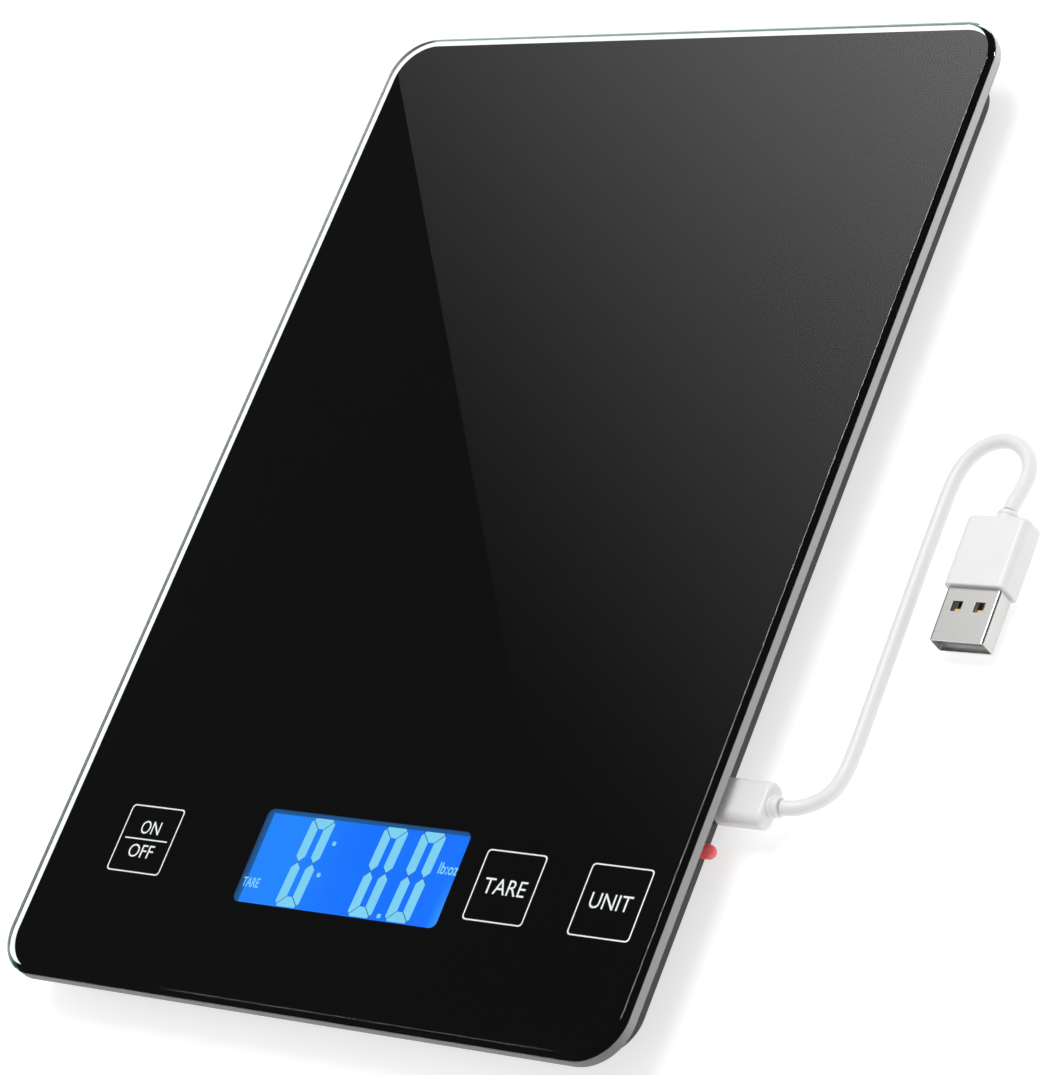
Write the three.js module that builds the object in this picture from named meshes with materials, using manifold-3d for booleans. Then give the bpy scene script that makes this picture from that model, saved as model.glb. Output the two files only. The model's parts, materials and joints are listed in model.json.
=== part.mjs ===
// A slim glass kitchen scale with its USB charging lead. Millimetres, +Z up.
// X runs across the scale, Y along it: the display and the printed buttons are at the -Y end.
// The origin is on the table under the middle of the glass.
import * as THREE from "three";
import { mergeVertices } from "three/addons/utils/BufferGeometryUtils.js";
import Module from "manifold-3d";

const wasm = await Module();
wasm.setup();

// ---- driving dimensions ----------------------------------------------------------------------

const FACE_GAP = 0.3; // between a cord's end and the piece that it meets
const SEAT_GAP = 0.1; // round a piece that drops into a pocket
const RUN_GAP = 0.35; // between the flange of a foot's carrier and the load cell over it
const SIDES = { small: 12, medium: 18, large: 28 }; // of round pieces and holes

const glass = {
  width: 160, length: 232.5, thickness: 3.6, corner: 10, bevel: 1.1, bevelDrop: 0.9, arris: 0.3,
};
const film = { thickness: 0.2, margin: 0.9 };
const tape = { thickness: 0.5, width: 4, margin: 0.8 };
const housing = { setback: 5.5, corner: 9, wall: 2, floor: 1.4, deck: 1.6, cavity: 5.3, clearance: 3 };
const shellEdge = 0.5; // chamfer round the tray's lower edge
const display = {
  x: 0.6, y: -83.5, windowWidth: 52.8, windowLength: 20.8, border: 1.4, glass: 1.9, gap: 0.15,
};
const holder = { wall: 1.6, gap: 0.3 };
const board = { thickness: 0.8, chip: 1.1, headroom: 0.25, margin: 4.5, back: 10.4, front: 7.4 };
const buttons = { on_off: [-54.8, -83.4], tare: [39.7, -83.6], unit: [65.2, -83.8] };
const spring = { radius: 2.4, wire: 0.3, turns: 3, sides: 5, stepsPerTurn: 8, hole: 3.5 };
const foot = { x: 58, y: 95, radius: 9.4, pad: 1.6, flange: 11, flangeThickness: 0.6, wall: 1.8, edge: 0.6 };
const cell = { side: 24, corner: 3, thickness: 1.4, slot: 1.5, tongue: 9, rim: 4 };
const screw = { shaft: 1.2, head: 2.2, headHeight: 1.2, bossWall: 1.9, runOut: 0.3, sink: 0.3 };
const sideScrews = { inset: 8.5, front: -34, back: 46 };
const endScrewInset = 7.5;
const battery = { x: 0, y: -22, width: 50, length: 34, height: 4, corner: 2, rib: 1.2, ribHeight: 2.4 };
const port = { y: -57.5, width: 8.94, height: 3.2, wall: 0.2, depth: 7.3, recess: 0.3, corner: 1.5 };
const charger = { x0: 50, y0: -72.5, y1: -49, thickness: 1, edgeGap: 0.7 };
const led = { y: -67.8, radius: 1.5, drop: 0.8, stick: 3.2, inside: 3, flange: 1.7, flangeThickness: 0.8 };
const lead = { radius: 0.6, sides: 6, steps: 14 };

const usbC = { shellWidth: 8.3, shellHeight: 2.5, slotWidth: 7.1, slotHeight: 1.3, reach: 6.2, corner: 1.15,
  moldWidth: 9.4, moldHeight: 4.8, moldLength: 11.5, stand: 1, relief: 2.2, reliefTip: 1.9, reliefLength: 2 };
const usbA = { x: 113.4, y: 7, lift: 0.3, moldWidth: 13.8, moldHeight: 6.6, moldLength: 15.5, corner: 1.6,
  shellWidth: 12, shellHeight: 4.5, shellWall: 0.3, shellLength: 11.5,
  window: 2.2, windowSpacing: 5, windowBack: 5.2,
  tongueHeight: 1.8, tongueLength: 9.5, relief: 2.3, reliefTip: 1.9, reliefLength: 2 };
const cable = { radius: 1.5, sides: 8, steps: 48 };

// ---- sizes that follow -----------------------------------------------------------------------

const trayBase = housing.clearance;
const floorTop = trayBase + housing.floor;
const deckBase = floorTop + housing.cavity;
const deckTop = deckBase + housing.deck;
const filmBase = deckTop + tape.thickness;
const glassBase = filmBase + film.thickness;
const shell = {
  width: glass.width - 2 * housing.setback,
  length: glass.length - 2 * housing.setback,
};
const wallX = shell.width / 2;
const portZ = floorTop + SEAT_GAP + port.height / 2;
const ledZ = portZ - led.drop;
const cellBase = floorTop + 0.4 + foot.flangeThickness + RUN_GAP;
const cellTop = cellBase + cell.thickness;
const boardTop = deckBase - board.headroom - board.chip;
const boardBase = boardTop - board.thickness;
const cableStart = wallX + usbC.stand + usbC.moldLength + usbC.reliefLength + FACE_GAP;
const usbAZ = usbA.lift + usbA.moldHeight / 2;
const usbAEnd = usbA.y + usbA.reliefLength + FACE_GAP;

// The cable's route, chosen by hand: out of the plug, down to the table, along the scale, round and back.
const route = [
  [cableStart, port.y, portZ],
  [90.6, -57.4, 5.95],
  [92.3, -56.9, 5.45],
  [94.2, -55.5, 4.6],
  [95.7, -53.6, 3.6],
  [96.6, -51.2, 2.7],
  [97.0, -48.0, 1.95],
  [97.1, -44.0, 1.58],
  [97.1, -38.0, 1.5],
  [97.0, -28.0, 1.5],
  [96.9, -16.0, 1.5],
  [96.8, -4.0, 1.5],
  [96.8, 7.0, 1.5],
  [96.9, 14.5, 1.5],
  [97.6, 19.4, 1.5],
  [99.6, 23.2, 1.5],
  [102.6, 25.4, 1.5],
  [106.0, 26.0, 1.5],
  [109.2, 24.9, 1.5],
  [111.8, 22.4, 1.5],
  [113.1, 19.2, 1.65],
  [113.4, 15.8, 2.2],
  [113.4, 12.4, 3.1],
  [usbA.x, usbAEnd, usbAZ],
];

// ---- solids ----------------------------------------------------------------------------------

function toSolid(geometry) {
  const bare = geometry.index ? geometry.toNonIndexed() : geometry.clone();
  bare.deleteAttribute("normal");
  bare.deleteAttribute("uv");
  const merged = mergeVertices(bare, 1e-4);
  const vertProperties = new Float32Array(merged.attributes.position.array);
  const triVerts = new Uint32Array(merged.index.array);
  return new wasm.Manifold(new wasm.Mesh({ numProp: 3, vertProperties, triVerts }));
}

function toGeometry(solid) {
  const { vertProperties, triVerts } = solid.getMesh();
  const geometry = new THREE.BufferGeometry();
  geometry.setAttribute("position", new THREE.BufferAttribute(new Float32Array(vertProperties), 3));
  geometry.setIndex(new THREE.BufferAttribute(new Uint32Array(triVerts), 1));
  geometry.computeVertexNormals();
  return geometry;
}

// Joins `first` with each of `added`, then cuts each of `removed` from it.
function carve(first, added, removed) {
  let solid = toSolid(first);
  for (const geometry of added) solid = solid.add(toSolid(geometry));
  for (const geometry of removed) solid = solid.subtract(toSolid(geometry));
  return toGeometry(solid);
}

function block([x0, x1], [y0, y1], [z0, z1]) {
  const geometry = new THREE.BoxGeometry(x1 - x0, y1 - y0, z1 - z0);
  return geometry.translate((x0 + x1) / 2, (y0 + y1) / 2, (z0 + z1) / 2);
}

// A block by its middle and its sizes in plan, standing between two heights.
function slab(x, y, width, length, z0, z1) {
  return block([x - width / 2, x + width / 2], [y - length / 2, y + length / 2], [z0, z1]);
}

function disc(x, y, radius, z0, z1, segments = SIDES.medium) {
  const geometry = new THREE.CylinderGeometry(radius, radius, z1 - z0, segments);
  return geometry.rotateX(Math.PI / 2).translate(x, y, (z0 + z1) / 2);
}

// A turned piece from its [radius, height] profile, listed upwards on the outside, on an upright axis.
function turned(profile, segments = SIDES.large) {
  const points = profile.map(([radius, height]) => new THREE.Vector2(radius, height));
  return new THREE.LatheGeometry(points, segments).rotateX(Math.PI / 2);
}

function roundedShape(width, length, corner) {
  const shape = new THREE.Shape();
  const x = width / 2 - corner;
  const y = length / 2 - corner;
  shape.absarc(x, y, corner, 0, Math.PI / 2);
  shape.absarc(-x, y, corner, Math.PI / 2, Math.PI);
  shape.absarc(-x, -y, corner, Math.PI, 1.5 * Math.PI);
  shape.absarc(x, -y, corner, 1.5 * Math.PI, 2 * Math.PI);
  shape.closePath();
  return shape;
}

function roundedPlate(x, y, width, length, corner, z0, z1, curveSegments = 6) {
  const shape = roundedShape(width, length, corner);
  const geometry = new THREE.ExtrudeGeometry(shape, { depth: z1 - z0, bevelEnabled: false, curveSegments });
  return geometry.translate(x, y, z0);
}

// A rounded plate whose outline steps in and out: `levels` lists [height, inset] from the bottom up.
function layeredPlate(width, length, corner, levels, steps = 10) {
  const ring = (inset) => {
    const radius = corner - inset;
    const points = [];
    for (let quarter = 0; quarter < 4; quarter += 1) {
      const sx = quarter === 0 || quarter === 3 ? 1 : -1;
      const sy = quarter < 2 ? 1 : -1;
      for (let step = 0; step <= steps; step += 1) {
        const angle = ((quarter + step / steps) * Math.PI) / 2;
        points.push([
          sx * (width / 2 - corner) + radius * Math.cos(angle),
          sy * (length / 2 - corner) + radius * Math.sin(angle),
        ]);
      }
    }
    return points;
  };
  const rings = levels.map(([z, inset]) => ring(inset).map(([x, y]) => [x, y, z]));
  const count = rings[0].length;
  const bottom = rings.length * count;
  const positions = rings.flat(2).concat([0, 0, levels[0][0], 0, 0, levels.at(-1)[0]]);
  const index = [];
  for (let k = 0; k < count; k += 1) {
    const next = (k + 1) % count;
    for (let level = 0; level + 1 < rings.length; level += 1) {
      const low = level * count;
      const high = low + count;
      index.push(low + k, low + next, high + next, low + k, high + next, high + k);
    }
    const top = bottom - count;
    index.push(bottom, next, k, bottom + 1, top + k, top + next);
  }
  const geometry = new THREE.BufferGeometry();
  geometry.setAttribute("position", new THREE.Float32BufferAttribute(positions, 3));
  geometry.setIndex(index);
  return geometry;
}

// A plug or socket section (width along Y, height along Z) drawn out along +X from x0 to x1.
function sectionX(y, z, width, height, corner, x0, x1, curveSegments = 4) {
  const shape = roundedShape(width, height, corner);
  const geometry = new THREE.ExtrudeGeometry(shape, { depth: x1 - x0, bevelEnabled: false, curveSegments });
  return geometry.rotateX(Math.PI / 2).rotateZ(Math.PI / 2).translate(x0, y, z);
}

// The same drawn out along +Y, with width along X.
function sectionY(x, z, width, height, corner, y0, y1, curveSegments = 4) {
  const shape = roundedShape(width, height, corner);
  const geometry = new THREE.ExtrudeGeometry(shape, { depth: y1 - y0, bevelEnabled: false, curveSegments });
  return geometry.rotateX(-Math.PI / 2).translate(x, y0, z);
}

function tube(points, radius, sides, steps) {
  const path = new THREE.CatmullRomCurve3(points.map((point) => new THREE.Vector3(...point)));
  const section = new THREE.Shape();
  for (let k = 0; k < sides; k += 1) {
    const angle = (2 * Math.PI * k) / sides;
    const [x, y] = [radius * Math.cos(angle), radius * Math.sin(angle)];
    if (k === 0) section.moveTo(x, y);
    else section.lineTo(x, y);
  }
  section.closePath();
  return new THREE.ExtrudeGeometry(section, { steps, extrudePath: path, bevelEnabled: false });
}

// ---- the model -------------------------------------------------------------------------------

const scale = new THREE.Group();

function finish(color, roughness, metalness = 0) {
  return new THREE.MeshStandardMaterial({ color, roughness, metalness });
}

const finishes = {
  glass: () => finish(0x1a1c1e, 0.04),
  print: () => finish(0x0b0b0c, 0.4),
  tape: () => finish(0x202124, 0.9),
  shell: () => finish(0x3a3b3d, 0.55),
  frame: () => finish(0xd8d8d4, 0.5),
  lcd: () => finish(0x1b6dff, 0.2),
  diffuser: () => finish(0xe8f2ff, 0.4),
  board: () => finish(0x1d5a34, 0.5),
  brass: () => finish(0xc79a4a, 0.35, 1),
  steel: () => finish(0xb9bcc0, 0.3, 1),
  foil: () => finish(0xb7bcc4, 0.35, 0.6),
  rubber: () => finish(0x2a2b2c, 0.85),
  lamp: () => finish(0xe3182c, 0.15),
  lead: () => finish(0xb02a2a, 0.6),
  white: () => finish(0xf2f2f1, 0.35),
  contacts: () => finish(0x2a2a2c, 0.5),
};

function add(name, material, geometry) {
  const mesh = new THREE.Mesh(geometry, material);
  mesh.name = name;
  scale.add(mesh);
}

const corners = [
  ["front_left", -foot.x, -foot.y],
  ["front_right", foot.x, -foot.y],
  ["rear_left", -foot.x, foot.y],
  ["rear_right", foot.x, foot.y],
];

const sideX = wallX - sideScrews.inset;
const endY = shell.length / 2 - endScrewInset;
const shellScrews = [
  [-sideX, sideScrews.front],
  [sideX, sideScrews.front],
  [-sideX, sideScrews.back],
  [sideX, sideScrews.back],
  [0, -endY],
  [0, endY],
];

const bossRadius = screw.shaft + screw.bossWall;
const headPocket = trayBase + screw.sink + screw.headHeight;
const bossMeet = (floorTop + deckBase) / 2 - 0.8;

function platform() {
  const top = glassBase + glass.thickness;
  const levels = [
    [glassBase, glass.arris],
    [glassBase + glass.arris, 0],
    [top - glass.bevelDrop, 0],
    [top - glass.bevelDrop / 3, glass.bevel / 3],
    [top, glass.bevel],
  ];
  add("glass_platform", finishes.glass(), layeredPlate(glass.width, glass.length, glass.corner, levels));

  const width = glass.width - 2 * film.margin;
  const length = glass.length - 2 * film.margin;
  const sheet = roundedPlate(0, 0, width, length, glass.corner - film.margin, filmBase, glassBase);
  const opening = slab(
    display.x, display.y, display.windowWidth, display.windowLength, filmBase - 1, glassBase + 1,
  );
  add("graphic_film", finishes.print(), carve(sheet, [], [opening]));

  const outer = { width: shell.width - 2 * tape.margin, length: shell.length - 2 * tape.margin };
  const corner = housing.corner - tape.margin;
  const ring = roundedPlate(0, 0, outer.width, outer.length, corner, deckTop, filmBase);
  const inside = roundedPlate(
    0, 0, outer.width - 2 * tape.width, outer.length - 2 * tape.width, corner - tape.width,
    deckTop - 1, filmBase + 1,
  );
  add("bonding_tape", finishes.tape(), carve(ring, [], [inside]));
}

// The deck carries the glass; its bosses take the shell screws and clamp the load cells.
function deck() {
  const plate = roundedPlate(0, 0, shell.width, shell.length, housing.corner, deckBase, deckTop);
  const bosses = shellScrews.map(([x, y]) => disc(x, y, bossRadius, bossMeet, deckBase + 0.5));
  const mounts = corners.map(([, x, y]) => disc(x, y, bossRadius, cellTop, deckBase + 0.5));
  const pilot = screw.shaft + SEAT_GAP;
  const holes = shellScrews.map(([x, y]) => disc(x, y, pilot, bossMeet - 1, deckBase + 0.2, SIDES.small));
  const mountHoles = corners.map(([, x, y]) => disc(x, y, pilot, cellTop - 1, deckBase + 0.2, SIDES.small));
  const windowWidth = display.windowWidth + 2 * (display.border + holder.wall + holder.gap);
  const windowLength = display.windowLength + 2 * (display.border + holder.wall + holder.gap);
  const opening = slab(display.x, display.y, windowWidth, windowLength, deckBase - 1, deckTop + 1);
  const springHoles = Object.values(buttons).map(
    ([x, y]) => disc(x, y, spring.hole, deckBase - 1, deckTop + 1, SIDES.medium),
  );
  const cuts = [...holes, ...mountHoles, opening, ...springHoles];
  add("housing_deck", finishes.shell(), carve(plate, [...bosses, ...mounts], cuts));
}

function tray() {
  const levels = [
    [trayBase, shellEdge],
    [trayBase + shellEdge, 0],
    [deckBase, 0],
  ];
  const body = layeredPlate(shell.width, shell.length, housing.corner, levels, 8);
  const cavity = roundedPlate(
    0, 0, shell.width - 2 * housing.wall, shell.length - 2 * housing.wall, housing.corner - housing.wall,
    floorTop, deckBase + 1,
  );
  const hollow = toGeometry(toSolid(body).subtract(toSolid(cavity)));
  const bosses = shellScrews.map(([x, y]) => disc(x, y, bossRadius, floorTop - 0.5, bossMeet));
  const ribWidth = battery.width + 2 * (battery.rib + SEAT_GAP);
  const ribLength = battery.length + 2 * (battery.rib + SEAT_GAP);
  const ribTop = floorTop + battery.ribHeight;
  const ribs = slab(battery.x, battery.y, ribWidth, ribLength, floorTop - 0.5, ribTop);
  const pocket = slab(
    battery.x, battery.y, battery.width + 2 * SEAT_GAP, battery.length + 2 * SEAT_GAP, floorTop, ribTop + 1,
  );
  const leadNotch = slab(battery.x, battery.y - battery.length / 2, 8, 6, floorTop, ribTop + 1);
  const wells = corners.map(
    ([, x, y]) => disc(x, y, foot.radius + 0.4, trayBase - 1, floorTop + 1, SIDES.large),
  );
  const clear = screw.shaft + 0.3;
  const holes = shellScrews.map(([x, y]) => disc(x, y, clear, trayBase - 1, bossMeet + 1, SIDES.small));
  const heads = shellScrews.map(
    ([x, y]) => disc(x, y, screw.head + 0.3, trayBase - 1, headPocket, SIDES.small),
  );
  const slot = sectionX(
    port.y, portZ, port.width + 2 * SEAT_GAP, port.height + 2 * SEAT_GAP - 0.02, port.corner,
    wallX - 4, wallX + 1,
  );
  const lampHole = new THREE.CylinderGeometry(led.radius + 0.15, led.radius + 0.15, 6, SIDES.medium)
    .rotateZ(Math.PI / 2).translate(wallX, led.y, ledZ);
  const lampPocket = block(
    [wallX - housing.wall - led.inside - 2, wallX - housing.wall + 0.01],
    [led.y - led.flange - 0.2, led.y + led.flange + 0.2],
    [ledZ - led.flange - 0.2, floorTop + 1],
  );
  const cuts = [pocket, leadNotch, ...wells, ...holes, ...heads, slot, lampHole, lampPocket];
  add("housing_tray", finishes.shell(), carve(hollow, [...bosses, ribs], cuts));

  shellScrews.forEach(([x, y], k) => {
    const base = trayBase + screw.sink;
    const head = disc(x, y, screw.head, base, headPocket, SIDES.small);
    const shaft = disc(x, y, screw.shaft, headPocket - 0.2, deckBase - 0.2, SIDES.small);
    const drive = slab(x, y, 0.6, 2.6, base - 1, base + 0.6);
    const cross = slab(x, y, 2.6, 0.6, base - 1, base + 0.6);
    add(`housing_screw_${k + 1}`, finishes.steel(), carve(head, [shaft], [drive, cross]));
  });
}

function displayStack() {
  const outerWidth = display.windowWidth + 2 * display.border;
  const outerLength = display.windowLength + 2 * display.border;
  const lcdTop = filmBase - display.gap;
  const lcdBase = lcdTop - display.glass;
  const { x, y } = display;
  add("lcd_panel", finishes.lcd(), slab(x, y, outerWidth, outerLength, lcdBase, lcdTop));
  const light = slab(x, y, outerWidth, outerLength, boardTop + SEAT_GAP, lcdBase - SEAT_GAP);
  add("backlight_panel", finishes.diffuser(), light);
  const ring = slab(
    x, y, outerWidth + 2 * holder.wall, outerLength + 2 * holder.wall, boardTop, lcdTop,
  );
  const inside = slab(x, y, outerWidth + 2 * SEAT_GAP, outerLength + 2 * SEAT_GAP, boardTop - 1, lcdTop + 1);
  add("lcd_holder", finishes.frame(), carve(ring, [], [inside]));

  const span = shell.width - 2 * (housing.wall + board.margin);
  const low = display.y - board.front;
  const high = display.y + board.back;
  const main = block([-span / 2, span / 2], [low, high], [boardBase, boardTop]);
  const chip = slab(x - 44, display.y, 9, 9, boardTop - 0.2, boardTop + board.chip);
  const connector = slab(x + 52, high - 3, 8, 4, boardTop - 0.2, boardTop + board.chip);
  add("main_board", finishes.board(), carve(main, [chip, connector], []));

  for (const [name, [bx, by]] of Object.entries(buttons)) {
    const low = boardTop + spring.wire + 0.05;
    const high = filmBase - spring.wire - 0.05;
    const count = spring.turns * spring.stepsPerTurn;
    const points = [];
    for (let k = 0; k <= count; k += 1) {
      const angle = (2 * Math.PI * k) / spring.stepsPerTurn;
      const z = low + ((high - low) * k) / count;
      points.push([bx + spring.radius * Math.cos(angle), by + spring.radius * Math.sin(angle), z]);
    }
    add(`touch_spring_${name}`, finishes.brass(), tube(points, spring.wire, spring.sides, count));
  }
}

function weighing() {
  const cellLow = floorTop + 0.4;
  for (const [name, x, y] of corners) {
    const padTop = foot.pad;
    const pad = turned([
      [0, 0], [foot.radius - foot.edge, 0], [foot.radius, foot.edge], [foot.radius, padTop], [0, padTop],
    ]).translate(x, y, 0);
    add(`rubber_foot_${name}`, finishes.rubber(), pad);

    const carrierTop = cellLow + foot.flangeThickness;
    const inner = foot.radius - foot.wall;
    const carrier = turned([
      [0, padTop], [foot.radius, padTop], [foot.radius, cellLow], [foot.flange, cellLow],
      [foot.flange, carrierTop], [inner, carrierTop], [inner, padTop + 1.2], [0, padTop + 1.2],
    ]).translate(x, y, 0);
    add(`foot_carrier_${name}`, finishes.frame(), carrier);

    const plate = roundedPlate(x, y, cell.side, cell.side, cell.corner, cellBase, cellTop, 4);
    const reach = cell.side - 2 * cell.rim;
    const ring = carve(
      slab(x, y, reach, reach, cellBase - 1, cellTop + 1), [],
      [slab(x, y, reach - 2 * cell.slot, reach - 2 * cell.slot, cellBase - 2, cellTop + 2),
        slab(x - Math.sign(x) * (reach / 2), y, cell.slot * 2.4, cell.tongue, cellBase - 2, cellTop + 2)],
    );
    const hole = disc(x, y, screw.shaft + 0.3, cellBase - 1, cellTop + 1, SIDES.small);
    add(`load_cell_${name}`, finishes.steel(), carve(plate, [], [ring, hole]));

    const head = disc(x, y, screw.head, cellBase - screw.headHeight, cellBase, SIDES.small);
    const shaft = disc(x, y, screw.shaft, cellBase - 0.2, deckBase - 0.2, SIDES.small);
    add(`load_cell_screw_${name}`, finishes.steel(), carve(head, [shaft], []));
  }
}

function power() {
  const { x, y } = battery;
  add("battery_cell", finishes.foil(), roundedPlate(
    x, y, battery.width, battery.length, battery.corner, floorTop, floorTop + battery.height, 5,
  ));

  const mouth = wallX - port.recess;
  const back = mouth - port.depth;
  const body = sectionX(port.y, portZ, port.width, port.height, port.corner, back, mouth);
  const bore = sectionX(
    port.y, portZ, port.width - 2 * port.wall, port.height - 2 * port.wall, port.corner - port.wall,
    back + 0.6, mouth + 1,
  );
  add("usb_socket_shell", finishes.steel(), carve(body, [], [bore]));
  add("usb_socket_tongue", finishes.contacts(), block(
    [back + 0.6, mouth - 1], [port.y - 3.35, port.y + 3.35], [portZ - 0.4, portZ + 0.4],
  ));

  const edge = wallX - housing.wall - charger.edgeGap;
  const low = portZ - charger.thickness / 2;
  const plate = block([charger.x0, edge], [charger.y0, charger.y1], [low, low + charger.thickness]);
  const notch = slab(edge, port.y, 2 * (edge - back + 0.2), port.width + 0.6, low - 1, low + 2);
  const lampNotch = slab(edge, led.y, 2 * (led.inside + 2.2), 2 * led.flange + 0.6, low - 1, low + 2);
  add("charging_board", finishes.board(), carve(plate, [], [notch, lampNotch]));

  const rear = wallX - housing.wall - led.inside;
  const stick = wallX + led.stick;
  const steps = 5;
  const profile = [
    [0, 0], [led.flange, 0], [led.flange, led.flangeThickness], [led.radius, led.flangeThickness],
  ];
  for (let k = 0; k <= steps; k += 1) {
    const angle = (Math.PI / 2) * (k / steps);
    profile.push([led.radius * Math.cos(angle), stick - rear - led.radius + led.radius * Math.sin(angle)]);
  }
  profile[profile.length - 1][0] = 0;
  const lens = turned(profile, SIDES.medium).rotateY(Math.PI / 2);
  add("charge_lamp", finishes.lamp(), lens.translate(rear, led.y, ledZ));
}

function wiring() {
  const z = floorTop + 0.9;
  const rise = boardBase - lead.radius - 0.2;
  const plugY = display.y + board.back - 2;
  const inner = foot.x - cell.side / 2;
  const cells = [
    ["front_left", [
      [-inner + 0.9, -90, z + 0.6], [-42.5, -88, z], [-41, -83, z], [-40, -78, z + 0.4], [-39, plugY, rise],
    ]],
    ["front_right", [
      [inner - 0.9, -90, z + 0.6], [42.5, -88, z], [41, -83, z], [40, -78, z + 0.4], [39, plugY, rise],
    ]],
    ["rear_left", [
      [-inner + 0.9, 92, z + 0.6], [-42, 88, z], [-40, 60, z], [-38, 0, z], [-36, -50, z], [-35, plugY, rise],
    ]],
    ["rear_right", [
      [inner - 0.9, 92, z + 0.6], [42, 88, z], [40, 60, z], [38, 0, z], [36, -50, z], [35, plugY, rise],
    ]],
  ];
  for (const [name, points] of cells) {
    add(`load_cell_lead_${name}`, finishes.lead(), tube(points, lead.radius, lead.sides, lead.steps));
  }
  const edge = battery.y - battery.length / 2;
  add("battery_lead", finishes.lead(), tube(
    [[0, edge - 0.3, z], [0, edge - 4, z], [8, edge - 12, z + 0.4], [24, -54, z + 1.4], [36, -58, z + 2.2],
      [44, -60, z + 1.7], [charger.x0 - 0.4, -61, portZ]],
    lead.radius, lead.sides, lead.steps,
  ));
}

function chargingLead() {
  const front = wallX + usbC.stand;
  const tip = front - usbC.stand - usbC.reach;
  const { y } = port;
  const body = sectionX(y, portZ, usbC.shellWidth, usbC.shellHeight, usbC.corner, tip, front);
  const slot = sectionX(y, portZ, usbC.slotWidth, usbC.slotHeight, 0.5, tip - 1, front - 1.4);
  add("usb_c_plug_shell", finishes.steel(), carve(body, [], [slot]));

  const back = front + usbC.moldLength;
  const round = usbC.moldHeight / 2 - 0.05;
  add("usb_c_overmould", finishes.white(), sectionX(
    y, portZ, usbC.moldWidth, usbC.moldHeight, round, front, back, 6,
  ));
  const relief = turned([
    [0, 0], [usbC.relief, 0], [usbC.relief, usbC.reliefLength * 0.55],
    [usbC.reliefTip, usbC.reliefLength * 0.55], [usbC.reliefTip, usbC.reliefLength],
    [0, usbC.reliefLength],
  ], SIDES.medium);
  add("usb_c_strain_relief", finishes.white(), relief.rotateY(Math.PI / 2).translate(back, y, portZ));

  add("charging_cable", finishes.white(), tube(route, cable.radius, cable.sides, cable.steps));

  const end = usbA.y - usbA.moldLength;
  add("usb_a_overmould", finishes.white(), sectionY(
    usbA.x, usbAZ, usbA.moldWidth, usbA.moldHeight, usbA.corner, end, usbA.y,
  ));
  const collar = turned([
    [0, 0], [usbA.relief, 0], [usbA.reliefTip, usbA.reliefLength], [0, usbA.reliefLength],
  ], SIDES.medium);
  add("usb_a_strain_relief", finishes.white(), collar.rotateX(-Math.PI / 2).translate(usbA.x, usbA.y, usbAZ));

  const nose = end - usbA.shellLength;
  const half = { width: usbA.shellWidth / 2, height: usbA.shellHeight / 2 };
  const box = block(
    [usbA.x - half.width, usbA.x + half.width], [nose, end], [usbAZ - half.height, usbAZ + half.height],
  );
  const inside = block(
    [usbA.x - half.width + usbA.shellWall, usbA.x + half.width - usbA.shellWall],
    [nose - 1, end - usbA.shellWall],
    [usbAZ - half.height + usbA.shellWall, usbAZ + half.height - usbA.shellWall],
  );
  const windows = [-1, 1].map((side) => slab(
    usbA.x + (side * usbA.windowSpacing) / 2, end - usbA.windowBack, usbA.window, usbA.window,
    usbAZ, usbAZ + half.height + 1,
  ));
  add("usb_a_shell", finishes.steel(), carve(box, [], [inside, ...windows]));
  const tongueBase = usbAZ - half.height + usbA.shellWall + 0.02;
  add("usb_a_tongue", finishes.contacts(), block(
    [usbA.x - half.width + usbA.shellWall + SEAT_GAP, usbA.x + half.width - usbA.shellWall - SEAT_GAP],
    [end - usbA.shellWall - 0.02 - usbA.tongueLength, end - usbA.shellWall - 0.02],
    [tongueBase, tongueBase + usbA.tongueHeight],
  ));
}

platform();
deck();
tray();
displayStack();
weighing();
power();
wiring();
chargingLead();

export default scale;
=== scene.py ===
"""A slim glass kitchen scale with its USB charging lead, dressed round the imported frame.

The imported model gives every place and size. This script builds the detailed pieces that stand
for the visible CAD nodes, gives each piece a procedural finish, and sets the floor, light and camera.
"""

import json
import logging
import math
from dataclasses import dataclass
from enum import Enum
from typing import Callable, Iterable, Sequence

import bmesh
import bpy
from mathutils import Matrix, Vector


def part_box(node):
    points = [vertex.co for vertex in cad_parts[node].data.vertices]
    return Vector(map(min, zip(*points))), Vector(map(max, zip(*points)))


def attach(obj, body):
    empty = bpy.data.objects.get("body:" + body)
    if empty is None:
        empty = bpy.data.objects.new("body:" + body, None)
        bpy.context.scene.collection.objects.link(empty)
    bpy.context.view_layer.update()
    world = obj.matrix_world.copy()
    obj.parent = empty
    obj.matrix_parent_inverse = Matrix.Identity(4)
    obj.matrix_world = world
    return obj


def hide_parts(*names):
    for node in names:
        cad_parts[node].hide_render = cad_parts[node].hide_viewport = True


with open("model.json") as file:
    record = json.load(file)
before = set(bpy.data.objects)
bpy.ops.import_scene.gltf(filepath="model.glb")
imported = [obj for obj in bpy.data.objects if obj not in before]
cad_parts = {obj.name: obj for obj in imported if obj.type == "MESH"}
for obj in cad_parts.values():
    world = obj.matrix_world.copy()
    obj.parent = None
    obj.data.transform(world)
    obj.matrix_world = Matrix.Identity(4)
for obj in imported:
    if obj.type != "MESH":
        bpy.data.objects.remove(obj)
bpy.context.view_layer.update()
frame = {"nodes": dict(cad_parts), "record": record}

MM = 0.001
SAME_HEIGHT = 1e-6  # how near two heights count as one, in metres
MERGE = 1e-7  # how near two corners of a mesh become one, in metres
OUT = MM  # how far a cutter stands out of what it cuts, in metres
THROUGH = 4 * MM  # how tall a cutter is that goes right through a thin plate, in metres
BLACK = (0, 0, 0, 1)
log = logging.getLogger("kitchen_scale")

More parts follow.
